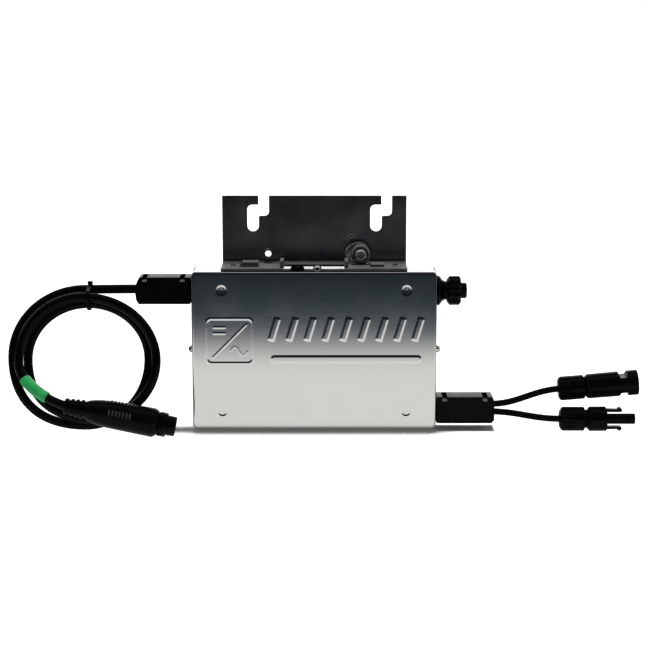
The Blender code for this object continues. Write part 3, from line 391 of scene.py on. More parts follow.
class Recipe:
    """Builds one material's nodes."""

    def __init__(self, name, metallic=0.0):
        self.material = bpy.data.materials.new(name)
        self.material.use_nodes = True
        self.tree = self.material.node_tree
        self.surface = self.tree.nodes["Principled BSDF"]
        self.place = self.add("ShaderNodeTexCoord").outputs["Object"]
        self.surface.inputs["Metallic"].default_value = metallic

    def add(self, kind, **values):
        node = self.tree.nodes.new(kind)
        for name, value in values.items():
            setattr(node, name, value)
        return node

    def link(self, output, node_input):
        self.tree.links.new(output, node_input)

    def noise(self, size, stretch=(1.0, 1.0, 1.0), detail=3.0):
        """Noise whose features are about size metres across, times stretch."""
        mapping = self.add("ShaderNodeMapping")
        mapping.inputs["Scale"].default_value = [1.0 / (size * longer) for longer in stretch]
        self.link(self.place, mapping.inputs["Vector"])
        noise = self.add("ShaderNodeTexNoise")
        noise.inputs["Scale"].default_value = 1.0
        noise.inputs["Detail"].default_value = detail
        self.link(mapping.outputs["Vector"], noise.inputs["Vector"])
        return noise.outputs["Fac"]

    def cells(self, size, feature="F1"):
        mapping = self.add("ShaderNodeMapping")
        mapping.inputs["Scale"].default_value = [1.0 / size] * 3
        self.link(self.place, mapping.inputs["Vector"])
        voronoi = self.add("ShaderNodeTexVoronoi", feature=feature)
        voronoi.inputs["Scale"].default_value = 1.0
        self.link(mapping.outputs["Vector"], voronoi.inputs["Vector"])
        return voronoi.outputs["Distance"]

    def waves(self, size, direction):
        """Even stripes, size apart, across direction (X, Y or Z)."""
        wave = self.add("ShaderNodeTexWave", bands_direction=direction)
        wave.inputs["Scale"].default_value = 1.0 / size / 20 * 2 * math.pi
        wave.inputs["Distortion"].default_value = 0.6
        self.link(self.place, wave.inputs["Vector"])
        return wave.outputs["Fac"]

    def spread(self, factor, low, high, start=0.3, end=0.7):
        """Maps a factor's start..end range to low..high."""
        node = self.add("ShaderNodeMapRange")
        for name, value in (("From Min", start), ("From Max", end), ("To Min", low), ("To Max", high)):
            node.inputs[name].default_value = value
        self.link(factor, node.inputs["Value"])
        return node.outputs["Result"]

    def sum(self, first, second, operation="ADD"):
        node = self.add("ShaderNodeMath", operation=operation)
        for index, value in enumerate((first, second)):
            if isinstance(value, (int, float)):
                node.inputs[index].default_value = value
            else:
                self.link(value, node.inputs[index])
        return node.outputs["Value"]

    def colour(self, factor, low, high, start=0.3, end=0.7):
        """The base colour goes from low to high as factor goes from start to end."""
        ramp = self.add("ShaderNodeValToRGB")
        ramp.color_ramp.elements[0].position = start
        ramp.color_ramp.elements[1].position = end
        ramp.color_ramp.elements[0].color = (*low, 1.0)
        ramp.color_ramp.elements[1].color = (*high, 1.0)
        self.link(factor, ramp.inputs["Fac"])
        self.link(ramp.outputs["Color"], self.surface.inputs["Base Color"])

    def roughness(self, value):
        self.link(value, self.surface.inputs["Roughness"])

    def bump(self, height, distance, strength=1.0):
        node = self.add("ShaderNodeBump")
        node.inputs["Strength"].default_value = strength
        node.inputs["Distance"].default_value = distance
        self.link(height, node.inputs["Height"])
        previous = self.surface.inputs["Normal"].links
        if previous:
            self.link(previous[0].from_socket, node.inputs["Normal"])
        self.link(node.outputs["Normal"], self.surface.inputs["Normal"])


def brushed_aluminium():
    """Drawn sheet, brushed from side to side, with faint handling marks."""
    recipe = Recipe("brushed_aluminium_sheet", 1.0)
    streaks = recipe.noise(0.00035, (45.0, 1.0, 1.0), 2.0)
    smudges = recipe.noise(0.030, detail=4.0)
    tone = recipe.sum(recipe.spread(streaks, 0.3, 0.7), smudges, "MULTIPLY")
    recipe.colour(tone, (0.64, 0.64, 0.63), (0.71, 0.705, 0.685), 0.1, 0.5)
    base = recipe.spread(streaks, 0.10, 0.15)
    recipe.roughness(recipe.sum(base, recipe.spread(smudges, -0.02, 0.02)))
    recipe.bump(streaks, 0.00001, 0.15)
    return recipe.material


def bracket_steel():
    """Rolled stainless sheet with a fine vertical grain; what faces up is made less metallic and rougher, as
    painted light on the upward faces.
    """
    recipe = Recipe("bracket_stainless", 1.0)
    patches = recipe.noise(0.022, detail=5.0)
    grain = recipe.noise(0.0004, (1.0, 1.0, 12.0), 3.0)
    recipe.colour(patches, (0.20, 0.205, 0.215), (0.26, 0.25, 0.235))
    split = recipe.add("ShaderNodeSeparateXYZ")
    recipe.link(recipe.add("ShaderNodeNewGeometry").outputs["Normal"], split.inputs["Vector"])
    # painted light: upward faces turn partly non-metallic and rougher, so the lamp lights them more than the
    # rest
    painted_top_light = recipe.spread(split.outputs["Z"], 0.0, 1.0, 0.6, 0.95)
    recipe.link(recipe.spread(painted_top_light, 1.0, 0.45, 0.0, 1.0), recipe.surface.inputs["Metallic"])
    polish = recipe.sum(recipe.spread(patches, 0.28, 0.38), recipe.spread(grain, -0.03, 0.03))
    recipe.roughness(recipe.sum(polish, recipe.spread(painted_top_light, 0.0, 0.2, 0.0, 1.0)))
    recipe.bump(grain, 0.00001, 0.15)
    return recipe.material


def pan_steel():
    """Satin sheet with a soft spangle."""
    recipe = Recipe("pan_satin", 1.0)
    spangle = recipe.cells(0.006)
    grain = recipe.noise(0.0005, detail=3.0)
    recipe.colour(spangle, (0.46, 0.47, 0.485), (0.56, 0.565, 0.57), 0.1, 0.8)
    satin = recipe.spread(spangle, 0.32, 0.42, 0.1, 0.8)
    recipe.roughness(recipe.sum(satin, recipe.spread(grain, -0.03, 0.03)))
    recipe.bump(grain, 0.00002, 0.2)
    return recipe.material


def marked_metal(name, size, low, high, polish, bump):
    """Plated metal with fine marks; the colour and the roughness wander between pairs of values."""
    recipe = Recipe(name, 1.0)
    marks = recipe.noise(size, detail=4.0)
    recipe.colour(marks, low, high)
    recipe.roughness(recipe.spread(marks, *polish))
    recipe.bump(marks, 0.00002, bump)
    return recipe.material


def bright_steel():
    low, high = (0.72, 0.72, 0.725), (0.86, 0.855, 0.845)
    return marked_metal("bright_fastener", 0.0006, low, high, (0.12, 0.26), 0.15)


def tinned_contact():
    low, high = (0.62, 0.60, 0.54), (0.78, 0.76, 0.70)
    return marked_metal("tinned_contact", 0.0005, low, high, (0.2, 0.36), 0.2)


def moulded(name, colour, roughness, grain_size=0.0003, grain_depth=0.00003):
    """Moulded plastic: a fine grain, and a slow change of gloss."""
    recipe = Recipe(name)
    grain = recipe.noise(grain_size, detail=2.0)
    flow = recipe.noise(0.009, detail=3.0)
    recipe.colour(flow, [c * 0.85 for c in colour], [min(1.0, c * 1.2) for c in colour])
    gloss = recipe.spread(flow, roughness - 0.05, roughness + 0.05)
    recipe.roughness(recipe.sum(gloss, recipe.spread(grain, -0.03, 0.03)))
    recipe.bump(grain, grain_depth, 0.35)
    return recipe


def black_moulding():
    """Black plastic; where the mesh carries a painted highlight, the colour is painted grey."""
    recipe = moulded("black_moulding", (0.0020, 0.0020, 0.0022), 0.28)
    recipe.surface.inputs["Specular IOR Level"].default_value = FAINT_GLOSS
    worn = recipe.add("ShaderNodeAttribute", attribute_name="worn").outputs["Fac"]
    highlight_mix = recipe.add("ShaderNodeMix", data_type="RGBA")
    sockets = [socket for socket in highlight_mix.inputs if socket.type == "RGBA"]
    recipe.link(worn, highlight_mix.inputs["Factor"])
    recipe.link(recipe.surface.inputs["Base Color"].links[0].from_socket, sockets[0])
    # painted highlight: the grey painted on the crests of the front grip ribs
    sockets[1].default_value = (0.045, 0.045, 0.047, 1.0)
    output = next(socket for socket in highlight_mix.outputs if socket.type == "RGBA")
    recipe.link(output, recipe.surface.inputs["Base Color"])
    return recipe.material


def cable_jacket():
    recipe = moulded("cable_jacket_rubber", (0.0022, 0.0022, 0.0024), 0.16, 0.0012, 0.00001)
    recipe.surface.inputs["Specular IOR Level"].default_value = FAINT_GLOSS
    return recipe.material


def green_sleeve():
    """Shrink sleeve, slightly wrinkled by the cable under it."""
    recipe = moulded("green_shrink_sleeve", (0.020, 0.36, 0.085), 0.36)
    recipe.bump(recipe.noise(0.003, (1.0, 1.0, 0.4), 3.0), 0.0002, 0.4)
    return recipe.material


def circuit_board():
    """Green solder mask over a maze of traces."""
    recipe = Recipe("board_solder_mask")
    traces = recipe.cells(0.004, "F2")
    recipe.colour(traces, (0.012, 0.10, 0.04), (0.03, 0.22, 0.09), 0.45, 0.55)
    recipe.roughness(recipe.spread(traces, 0.28, 0.42))
    recipe.bump(traces, 0.00004, 0.4)
    return recipe.material


def wound_wire():
    """Enamelled copper wire, turn beside turn."""
    recipe = Recipe("enamelled_winding", 1.0)
    turns = recipe.waves(0.0008, "Z")
    recipe.colour(turns, (0.40, 0.17, 0.08), (0.80, 0.42, 0.24), 0.1, 0.7)
    recipe.roughness(recipe.spread(turns, 0.4, 0.25))
    recipe.bump(turns, 0.0002, 0.8)
    return recipe.material


def fuse_glass():
    recipe = moulded("fuse_tube", (0.80, 0.85, 0.85), 0.12, 0.002, 0.00001)
    recipe.surface.inputs["Transmission Weight"].default_value = 0.6
    return recipe.material


MATERIALS = {
    "brushed_aluminium": brushed_aluminium(),
    "bracket_steel": bracket_steel(),
    "pan_steel": pan_steel(),
    "bright_steel": bright_steel(),
    "black_plastic": black_moulding(),
    "cable_jacket": cable_jacket(),
    "seal_rubber": moulded("seal_rubber_bead", (0.020, 0.020, 0.020), 0.75).material,
    "green_sleeve": green_sleeve(),
    "circuit_board": circuit_board(),
    "capacitor_sleeve": moulded("capacitor_sleeve_film", (0.05, 0.06, 0.20), 0.3, 0.001).material,
    "ferrite": moulded("ferrite_ceramic", (0.05, 0.05, 0.055), 0.6, 0.0004, 0.00006).material,
    "winding": wound_wire(),
    "pale_plastic": moulded("pale_moulding", (0.70, 0.69, 0.63), 0.45).material,
    "insulation_film": moulded("amber_film", (0.55, 0.33, 0.08), 0.25, 0.002).material,
    "contact_tin": tinned_contact(),
    "fuse_glass": fuse_glass(),
}


# Case.


def smooth_step(value, start, end):
    share = np.clip((value - start) / (end - start), 0.0, 1.0)
    return share * share * (3 - 2 * share)


def box_distance(x, z, width, height, corner):
    """Signed distance to a rounded rectangle's edge, below zero inside."""
    beyond_x = np.abs(x) - width / 2 + corner
    beyond_z = np.abs(z) - height / 2 + corner
    outside = np.hypot(np.maximum(beyond_x, 0.0), np.maximum(beyond_z, 0.0))
    return outside + np.minimum(np.maximum(beyond_x, beyond_z), 0.0) - corner


def strip_distance(x, z, start, end, width, corner):
    """Signed distance to the edge of a straight strip from start to end."""
    middle = (Vector(start) + Vector(end)) / 2
    stretch = Vector(end) - Vector(start)
    along_x, along_z = stretch.normalized()
    along = (x - middle.x) * along_x + (z - middle.y) * along_z
    beside = (z - middle.y) * along_x - (x - middle.x) * along_z
    return box_distance(along, beside, stretch.length, width, corner)


def pattern_distance(x, z):
    """Signed distance to the raised pattern: a converter symbol, a row of slanted beads and a long bead."""
    frame_x, frame_z = -0.0700, 0.0085
    outer = box_distance(x - frame_x, z - frame_z, 0.0400, 0.0400, 0.0040)
    inner = box_distance(x - frame_x, z - frame_z, 0.0350, 0.0350, 0.0025)
    shapes = [np.maximum(outer, -inner)]
    for lift in (0.0115, 0.0065):
        shapes.append(box_distance(x + 0.0785, z - frame_z - lift, 0.0110, 0.0022, 0.0010))
    wave_steps = 20
    wave_width = 0.0140
    wave = []
    for step in range(wave_steps + 1):
        share = step / wave_steps - 0.5
        height = -0.0085 - 0.0040 * math.sin(2 * math.pi * share)
        wave.append((-0.0622 + wave_width * share, frame_z + height))
    for start, end in zip(wave, wave[1:]):
        shapes.append(strip_distance(x, z, start, end, 0.0022, 0.0002))
    shapes.append(strip_distance(x, z, (-0.0845, -0.0060), (-0.0555, 0.0230), 0.0020, 0.0003))
    beads = 9
    for index in range(beads):
        middle = -0.0330 + 0.1190 * index / (beads - 1)
        start, end = (middle - 0.0030, 0.0085), (middle + 0.0030, 0.0285)
        shapes.append(strip_distance(x, z, start, end, 0.0060, 0.0015))
    shapes.append(strip_distance(x, z, (-0.0360, -0.0070), (0.0890, -0.0070), 0.0070, 0.0030))
    return np.minimum.reduce(shapes)


def cover_relief(x, z):
    """How far the cover's face stands out at points of it."""
    shoulder, rise = 0.0016, 0.00030
    relief = rise * smooth_step(-pattern_distance(x, z), 0.0, shoulder)
    for side_x in (-1, 1):
        for side_z in (-1, 1):
            distance = np.hypot(x - side_x * DIMPLE_X, z - side_z * DIMPLE_HEIGHT)
            out = distance / DIMPLE_RADIUS
            relief -= DIMPLE_DEPTH * (1 - smooth_step(out, 0.60, 1.0))
            relief -= DIMPLE_CORE * (1 - smooth_step(out, 0.10, 0.45))
    return relief


def loop(shape, width, height, corner, inset, y):
    """A ring of vertices round a rounded rectangle, drawn in from its full size by inset."""
    outline = rounded_rectangle(width - 2 * inset, height - 2 * inset, max(corner - inset, 0.0004), steps=8)
    return [shape.verts.new(at(x, y, z)) for x, z in outline]


def tray_loops(shape, width, height, closed_y, open_y, corner, roll):
    """The rings of a drawn tray, from its closed face round the rolled edge, the rim and back inside."""
    inward = 1.0 if open_y > closed_y else -1.0
    rim = 0.0003
    stations = [(roll + 0.0006, closed_y)]
    stations += [(roll - x, closed_y + inward * (roll - y)) for x, y in arc((0.0, 0.0), roll, 90, 0, 7)]
    stations += [(0.0, open_y - inward * rim), (rim * 0.3, open_y - inward * rim * 0.3), (rim, open_y)]
    stations += [(SHEET - rim, open_y), (SHEET, open_y - inward * rim)]
    inner_roll = 0.0006
    stations.append((SHEET, closed_y + inward * (SHEET + 0.0002 + inner_roll)))
    stations.append((SHEET + inner_roll, closed_y + inward * (SHEET + 0.0002)))
    return [loop(shape, width, height, corner, inset, y) for inset, y in stations]


def edges_of(ring):
    """The edges that join a closed ring of vertices."""
    edges = []
    for vertex, after in zip(ring, ring[1:] + ring[:1]):
        edges.append(next(edge for edge in vertex.link_edges if edge.other_vert(vertex) is after))
    return edges


def cover_face(shape, border):
    """Fills the cover's face: a fine grid that carries the relief, and a flat strip out to border."""
    margin = 0.0060
    spacing = 0.0005
    columns = round((CASE_WIDTH - 2 * margin) / spacing)
    rows = round((CASE_HEIGHT - 2 * margin) / spacing)
    x = np.linspace(-CASE_WIDTH / 2 + margin, CASE_WIDTH / 2 - margin, columns + 1)
    z = np.linspace(-CASE_HEIGHT / 2 + margin, CASE_HEIGHT / 2 - margin, rows + 1)
    grid_x, grid_z = np.meshgrid(x, z)
    relief = cover_relief(grid_x, grid_z)
    grid = []
    for row in zip(grid_x, grid_z, relief):
        grid.append([shape.verts.new((gx, CASE_FRONT - out, CASE_CENTRE + gz)) for gx, gz, out in zip(*row)])
    for lower, upper in zip(grid, grid[1:]):
        for column in range(columns):
            shape.faces.new((lower[column], lower[column + 1], upper[column + 1], upper[column]))
    rim = grid[0] + [row[-1] for row in grid[1:-1]] + grid[-1][::-1] + [row[0] for row in grid[-2:0:-1]]
    edges = edges_of(rim) + edges_of(border)
    bmesh.ops.triangle_fill(shape, use_beauty=True, edges=edges, normal=FRONT)


def make_cover():
    shape = bmesh.new()
    loops = tray_loops(shape, CASE_WIDTH, CASE_HEIGHT, CASE_FRONT, CASE_BACK, COVER_CORNER, COVER_ROLL)
    ring_faces(shape, loops, False)
    shape.faces.new(loops[-1])
    cover_face(shape, loops[0])
    settle(add_piece("embossed_cover", shape, 50.0), "brushed_aluminium", "case", "front_cover")


def make_pan():
    width, height = PAN_HIGH.x - PAN_LOW.x, PAN_HIGH.z - PAN_LOW.z
    shape = bmesh.new()
    loops = tray_loops(shape, width, height, CASE_BACK, CASE_BACK - PAN_DEPTH, PAN_CORNER, PAN_ROLL)
    ring_faces(shape, loops, False)
    shape.faces.new(loops[0])
    shape.faces.new(loops[-1])
    settle(add_piece("rolled_back_pan", shape, 50.0), "pan_steel", "case", "back_pan")


def pan_head(name, node, direction, slot="bright_steel", recess="cross", crown=0.45):
    """A round head on its seat, with a recess for the driver; direction is outwards."""
    low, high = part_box(node)
    direction = Vector(direction)
    radius = round_radius(low, high, direction)
    outer = max(low.dot(direction), high.dot(direction))
    seat = HEAD_SEATS[node]
    thickness = outer - seat.dot(direction)
    outline = [(-0.0002, radius * 0.9), (0.0, radius)]
    outline += [(thickness * crown, radius * 0.97), (thickness, radius * 0.55)]
    head = turned(name, outline, seat, direction, ease=thickness * 0.3)
    first, second = across(direction)
    cutters = []
    arm_half = 0.00045
    if recess == "cross":
        for arm, side in enumerate((first, second)):
            shape = bmesh.new()
            low_corner = (-arm_half, -radius * 0.5, -thickness * 0.55)
            rounded_block(shape, low_corner, (arm_half, radius * 0.5, 0.001), 0.0001, 1)
            turn = Matrix((side, direction.cross(side), direction)).transposed().to_4x4()
            place = Matrix.Translation(seat + direction * thickness) @ turn
            bmesh.ops.transform(shape, matrix=place, verts=shape.verts)
            cutters.append(add_piece(f"{name}_recess_{arm}", shape))
    if cutters:
        head = carve(head, *cutters)
    return settle(head, slot, "case", node)


def round_radius(low, high, direction):
    """Half of a round node's width, measured square to direction."""
    sizes = sorted((high - low)[axis] for axis in range(3) if abs(direction[axis]) < 0.5)
    return sizes[-1] / 2


CASE_TOP = COVER_HIGH.z
FLANGE_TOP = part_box("mounting_bracket")[0].z + 0.0020


def middle_of(node):
    low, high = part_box(node)
    return (low + high) / 2


def seat_at(node, axis, value):
    """The middle of a node, moved along one axis to value."""
    seat = middle_of(node)
    seat[axis] = value
    return seat


HEAD_SEATS = {
    "side_screw_left": seat_at("side_screw_left", 0, COVER_LOW.x),
    "side_screw_right": seat_at("side_screw_right", 0, COVER_HIGH.x),
    "earth_screw": seat_at("earth_screw", 2, CASE_TOP),
    "foot_rivet_left": seat_at("foot_rivet_left", 2, FLANGE_TOP),
    "foot_rivet_right": seat_at("foot_rivet_right", 2, FLANGE_TOP),
}


def grooves(count, width, depth, start=-1.0, end=1.0, first=0.0, fade=0.0006):
    """A form for turned(): count grooves, width radians wide, between start and end along the axis."""
    pitch = 2 * math.pi / count

    def form(along, radius, turn):
        offset = (turn - first + pitch / 2) % pitch - pitch / 2
        share = max(0.0, 1.0 - abs(offset) / (width / 2))
        share = min(1.0, share * 1.6)
        share = share * share * (3 - 2 * share)
        inside = min(1.0, max(0.0, (along - start) / fade)) * min(1.0, max(0.0, (end - along) / fade))
        return radius - depth * share * inside

    return form


def make_vent():
    low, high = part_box("vent_plug")
    radius = (high.x - low.x) / 2
    seat = Vector(((low.x + high.x) / 2, (low.y + high.y) / 2, CASE_TOP))
    height = high.z - CASE_TOP
    outline = [(0.0, radius), (0.0010, radius), (height - 0.0006, radius * 0.80), (height, radius * 0.68)]
    outline += [(height, radius * 0.36), (height - 0.0008, radius * 0.30), (height - 0.0008, 0.0002)]
    form = grooves(12, 0.26, 0.0005, 0.0011)
    vent = turned("vent_cap", outline, seat, UP, form=form, ease=0.0003, spacing=0.0004, steps=96)
    settle(vent, "black_plastic", "case", "vent_plug")


def make_case():
    make_cover()
    make_pan()
    pan_head("side_screw_head_left", "side_screw_left", LEFT)
    pan_head("side_screw_head_right", "side_screw_right", RIGHT)
    pan_head("earth_screw_head", "earth_screw", UP)
    make_vent()


# Bracket and ground hardware.

BOLT_HOLE = 0.0029


def make_bracket():
    bracket = refined("hanging_bracket", "mounting_bracket", 0.00015)
    settle(bracket, "bracket_steel", "case", "mounting_bracket")
    for side in ("left", "right"):
        node = f"foot_rivet_{side}"
        pan_head(f"foot_rivet_head_{side}", node, UP, "pan_steel", recess=None, crown=0.35)


def make_clinch_nut():
    start, length = base_of("clinch_nut", FRONT)
    outline = [(0.0, 0.0034), (0.0020, 0.0034), (0.0020, 0.0046), (length, 0.0041)]
    bore = [(0.0, 0.0027), (length, 0.0027)]
    form = grooves(24, 0.14, 0.00012, 0.0021)
    nut = turned("clinch_collar", outline, start, FRONT, bore=bore, form=form, ease=0.0003, steps=96)
    settle(nut, "bracket_steel", "case", "clinch_nut")


def make_ground_rivet():
    low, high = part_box("ground_rivet")
    centre = (low + high) / 2
    plate_front = -0.0020
    radius = (high.x - low.x) / 2
    thickness = plate_front - low.y
    outline = [(0.0, radius), (thickness * 0.4, radius), (thickness, radius * 0.72)]
    outline += [(thickness * 0.72, radius * 0.58), (thickness * 0.72, radius * 0.34)]
    outline += [(thickness, radius * 0.26), (thickness, 0.0002)]
    seat = Vector((centre.x, plate_front, centre.z))
    rivet = turned("ground_rivet_head", outline, seat, FRONT, ease=0.0003)
    settle(rivet, "bracket_steel", "case", "ground_rivet")


def make_ground_spacer(axis):
    start, length = base_of("ground_spacer", FRONT, axis)
    outline, bore = ([(0.0, radius), (length, radius)] for radius in (0.0042, BOLT_HOLE))
    spacer = turned("spacer_ring", outline, start, FRONT, bore=bore, ease=0.0003)
    settle(spacer, "bright_steel", "case", "ground_spacer")


def make_ground_clip(axis):
    """A half-round plate with a turned-up rim."""
    low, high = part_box("ground_clip")
    middle = Vector((axis.x, (low.y + high.y) / 2, axis.z))
    rim_centre = (-0.0010, 0.0008)
    outline = [(0.0045, -0.0080), (0.0045, 0.0086)] + arc(rim_centre, (0.0116, 0.0090), 80, 280, 40)
    hole = arc((0.0, 0.0), BOLT_HOLE, 0, 350, 35)
    clip = plate("clip_plate", [outline, hole], high.y - low.y, middle, FRONT)
    rim = arc(rim_centre, (0.0111, 0.0085), 82, 278, 48)
    shape = bmesh.new()
    shape.from_mesh(clip.data)
    bpy.data.objects.remove(clip)
    sweep(shape, [middle + Vector((x, -0.0004, z)) for x, z in rim], 0.0006, 16)
    settle(add_piece("half_round_clip", shape), "bright_steel", "case", "ground_clip")


def make_ground_clamp(axis):
    start, depth = base_of("ground_clamp", FRONT, axis)
    dish = depth - 0.0012
    outline = [(0.0, 0.0083), (0.0042, 0.0083), (depth, 0.0068), (depth, 0.0058), (dish, 0.0052)]
    bore = [(0.0, BOLT_HOLE), (dish, BOLT_HOLE)]
    form = grooves(20, 0.16, 0.0002, 0.0004, 0.0042)
    clamp = turned("dished_clamp", outline, start, FRONT, bore=bore, form=form, spacing=0.0006, steps=120)
    settle(clamp, "bracket_steel", "case", "ground_clamp")


def make_ground_bolt(axis):
    low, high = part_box("ground_bolt")
    shank, flange = 0.0026, 0.0050
    outline = [(axis.y - high.y, shank), (0.0, shank), (0.0, flange), (0.0018, flange)]
    outline.append((axis.y - low.y, 0.0034))
    bolt = turned("ground_bolt_head", outline, axis, FRONT, ease=0.0004)
    shape = bmesh.new()
    turn_round(shape, [(0.0, 0.0026), (0.0040, 0.0026)], axis + FRONT * 0.0014, FRONT, ease=0.0, steps=6)
    bolt = carve(bolt, add_piece("bolt_socket_cutter", shape))
    settle(bolt, "bright_steel", "ground_bolt", "ground_bolt")


def make_ground_stack():
    """Spacer, clip, dished clamp and bolt, all on the bolt's axis."""
    axis = Vector(JOINTS["ground_bolt"]["pos_m"])
    make_ground_spacer(axis)
    make_ground_clip(axis)
    make_ground_clamp(axis)
    make_ground_bolt(axis)


# Glands and port.


def gland_outline(length, half, nose):
    """A gland's side view, from the case outwards; its outer end is blunt, or drawn in to a nose."""
    outline = [(0.0, -half + 0.0010), (0.0010, -half)]
    if nose:
        outline += [(length - 0.0026, -half), (length - 0.0006, -half + 0.0034), (length, -0.0030)]
        outline += [(length, 0.0030), (length - 0.0012, half - 0.0044), (length - 0.0034, half)]
    else:
        outline += [(length - 0.0024, -half), (length, -half + 0.0026)]
        outline += [(length, half - 0.0036), (length - 0.0020, half)]
    outline += [(0.0010, half), (0.0, half - 0.0010)]
    return eased(outline, 0.0006, closed=True, steps=3)


def gland_pockets(name, low, high, start, side, length):
    """Cutters for the two pockets in a gland's top, open to the front."""
    width, depth, back_wall, over = 0.0042, 0.0034, 0.0030, 0.0010
    cutters = []
    for index, along in enumerate((0.0072, length - 0.0078)):
        middle = start.x + side.x * along
        shape = bmesh.new()
        corner_low = (middle - width / 2, low.y - over, high.z - depth)
        corner_high = (middle + width / 2, high.y - back_wall, high.z + over)
        rounded_block(shape, corner_low, corner_high, 0.0005, 2)
        cutters.append(add_piece(f"{name}_pocket_{index}", shape))
    return cutters


def make_gland(name, node, side, length, nose):
    low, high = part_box(node)
    outer = low.x if side.x < 0 else high.x
    start = Vector((outer - side.x * length, (low.y + high.y) / 2, (low.z + high.z) / 2))
    outline = gland_outline(length, (high.z - low.z) / 2, nose)
    if side.x < 0:
        outline = [(-x, z) for x, z in outline][::-1]
    body = plate(name, [outline], high.y - low.y, start, FRONT, edge=0.0008, edge_steps=3)
    body = carve(body, *gland_pockets(name, low, high, start, side, length))
    shape = bmesh.new()
    shape.from_mesh(body.data)
    bpy.data.objects.remove(body)
    wall = Vector((side.x * CASE_WIDTH / 2, start.y, start.z))
    turn_round(shape, [(0.0, 0.0080), (abs(start.x - wall.x) + 0.0010, 0.0080)], wall, side, ease=0.0002)
    return settle(add_piece(name, shape), "black_plastic", "case", node)


def outside_only(form, limit):
    """Keeps a form off a piece's bore."""
    return lambda along, radius, turn: form(along, radius, turn) if radius > limit else radius


def make_port_housing():
    low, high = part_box("port_housing")
    wall = seat_at("port_housing", 0, COVER_HIGH.x)
    neck_end = high.x - wall.x
    radius = (high.z - low.z) / 2
    outline = [(0.0, radius - 0.0003), (0.0003, radius), (0.0025, radius), (0.0052, 0.0090)]
    outline += [(0.0072, 0.0077), (neck_end, 0.0077)]
    socket = neck_end - 0.0110
    bore = [(0.0, 0.0030), (socket, 0.0030), (socket, 0.0055), (neck_end, 0.0055)]
    housing = turned("port_flange", outline, wall, RIGHT, bore=bore, ease=0.0005)
    settle(housing, "black_plastic", "case", "port_housing")


def make_port_cap(axis):
    start, depth = base_of("port_cap", RIGHT, axis)
    dish = depth - 0.0008
    outline = [(0.0, 0.0076), (0.0014, 0.0076), (0.0014, 0.0065), (dish, 0.0065), (depth, 0.0056)]
    outline += [(depth, 0.0030), (dish, 0.0026), (dish, 0.0002)]
    form = grooves(8, 0.30, 0.0004, 0.0016)
    cap = turned("port_end_cap", outline, start, RIGHT, form=form, spacing=0.0008, steps=96)
    settle(cap, "black_plastic", "port_cap", "port_cap")


def make_port_nut(axis):
    start, length = base_of("port_nut", RIGHT, axis)
    outline = [(0.0, 0.0090), (0.0022, 0.0121), (length - 0.0013, 0.0121), (length, 0.0104)]
    lip = length - 0.0021
    bore = [(0.0, 0.0080), (lip, 0.0080), (lip, 0.0068), (length, 0.0068)]
    form = outside_only(grooves(10, 0.40, 0.0011, 0.0006, length + 0.01, math.pi / 10), 0.0085)
    nut = turned(
        "port_grip_nut", outline, start, RIGHT, bore=bore, form=form, ease=0.0005, spacing=0.0006, steps=160
    )
    settle(nut, "black_plastic", "port_nut", "port_nut")


def make_port():
    axis = middle_of("port_housing")
    make_port_housing()
    make_port_cap(axis)
    make_port_nut(axis)


# AC lead.

PLUG_DIRECTION = Vector(JOINTS["ac_plug_collar"]["axis"]).normalized()
PLUG_START = Vector(JOINTS["ac_plug_collar"]["pos_m"]) - PLUG_DIRECTION * COLLAR_PLACE
AC_ENTRY_HEIGHT = AC_LEAD_START.z - CASE_CENTRE


def coil_inset(turns):
    """How far inside the widest turn the cable lies; it wanders, so the turns lie side by side."""
    stations = (
        (0.25, 0.0), (0.75, 0.0), (1.0, 0.0069), (1.5, 0.0142), (2.0, 0.0), (2.25, 0.0036), (2.5, 0.0078),
    )
    for (start, low), (end, high) in zip(stations, stations[1:]):
        if turns <= end:
            share = (turns - start) / (end - start)
            return low + (high - low) * share * share * (3 - 2 * share)
    return stations[-1][1]


def coil_point(turns):
    """A point of the coil; turns counts from the right, anticlockwise as seen from the front."""
    turn = 2 * math.pi * turns
    inset = coil_inset(turns)
    lower_left = math.cos(turn) < 0 and math.sin(turn) < 0
    sag = 1 + COIL_SAG * math.sin(2 * turn) ** 2 if lower_left else 1
    height = COIL_HEIGHT + (COIL_HALF_HEIGHT - inset) * math.sin(turn) * sag
    x = COIL_X + (COIL_HALF_WIDTH - inset) * math.cos(turn) * sag
    lean = COIL_LEAN * (AC_ENTRY_HEIGHT - height)
    return at(x, AC_LEAD_START.y - COIL_PITCH * (turns - 0.25) - lean, height)


def bezier(start, handle_start, handle_end, end, share):
    rest = 1 - share
    return (
        start * rest**3 + handle_start * (3 * rest * rest * share)
        + handle_end * (3 * rest * share * share) + end * share**3
    )


def ac_tail(share):
    """The cable's last stretch, from the coil's left side down into the plug."""
    start = coil_point(2.5)
    handle = 0.018
    along = (start - coil_point(2.48)).normalized()
    end = PLUG_START + PLUG_DIRECTION * 0.006
    return bezier(start, start + along * handle, end - PLUG_DIRECTION * handle, end, share)


def make_ac_cable():
    """A short root from the gland, and the coil, which swings with the lead."""
    top = coil_point(0.25)
    root_end = AC_LEAD_START.lerp(top, 0.55)
    root_steps = 24
    root_start = AC_LEAD_START - LEFT * 0.0010
    root = [root_start.lerp(root_end, step / root_steps) for step in range(root_steps + 1)]
    root_piece = settle(tube("ac_cable_root", root, AC_CABLE_RADIUS), "cable_jacket", None, "ac_cable")
    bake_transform(root_piece)
    points = [root_end.lerp(top, step / 8) for step in range(8)]
    steps_per_turn = 120
    count = round(2.25 * steps_per_turn)
    points += [coil_point(0.25 + step / steps_per_turn) for step in range(count + 1)]
    tail_steps = 40
    points += [ac_tail(step / tail_steps) for step in range(1, tail_steps + 1)]
    coil = tube("ac_cable_coil", points, AC_CABLE_RADIUS)
    settle(coil, "cable_jacket", "ac_lead", "ac_cable")


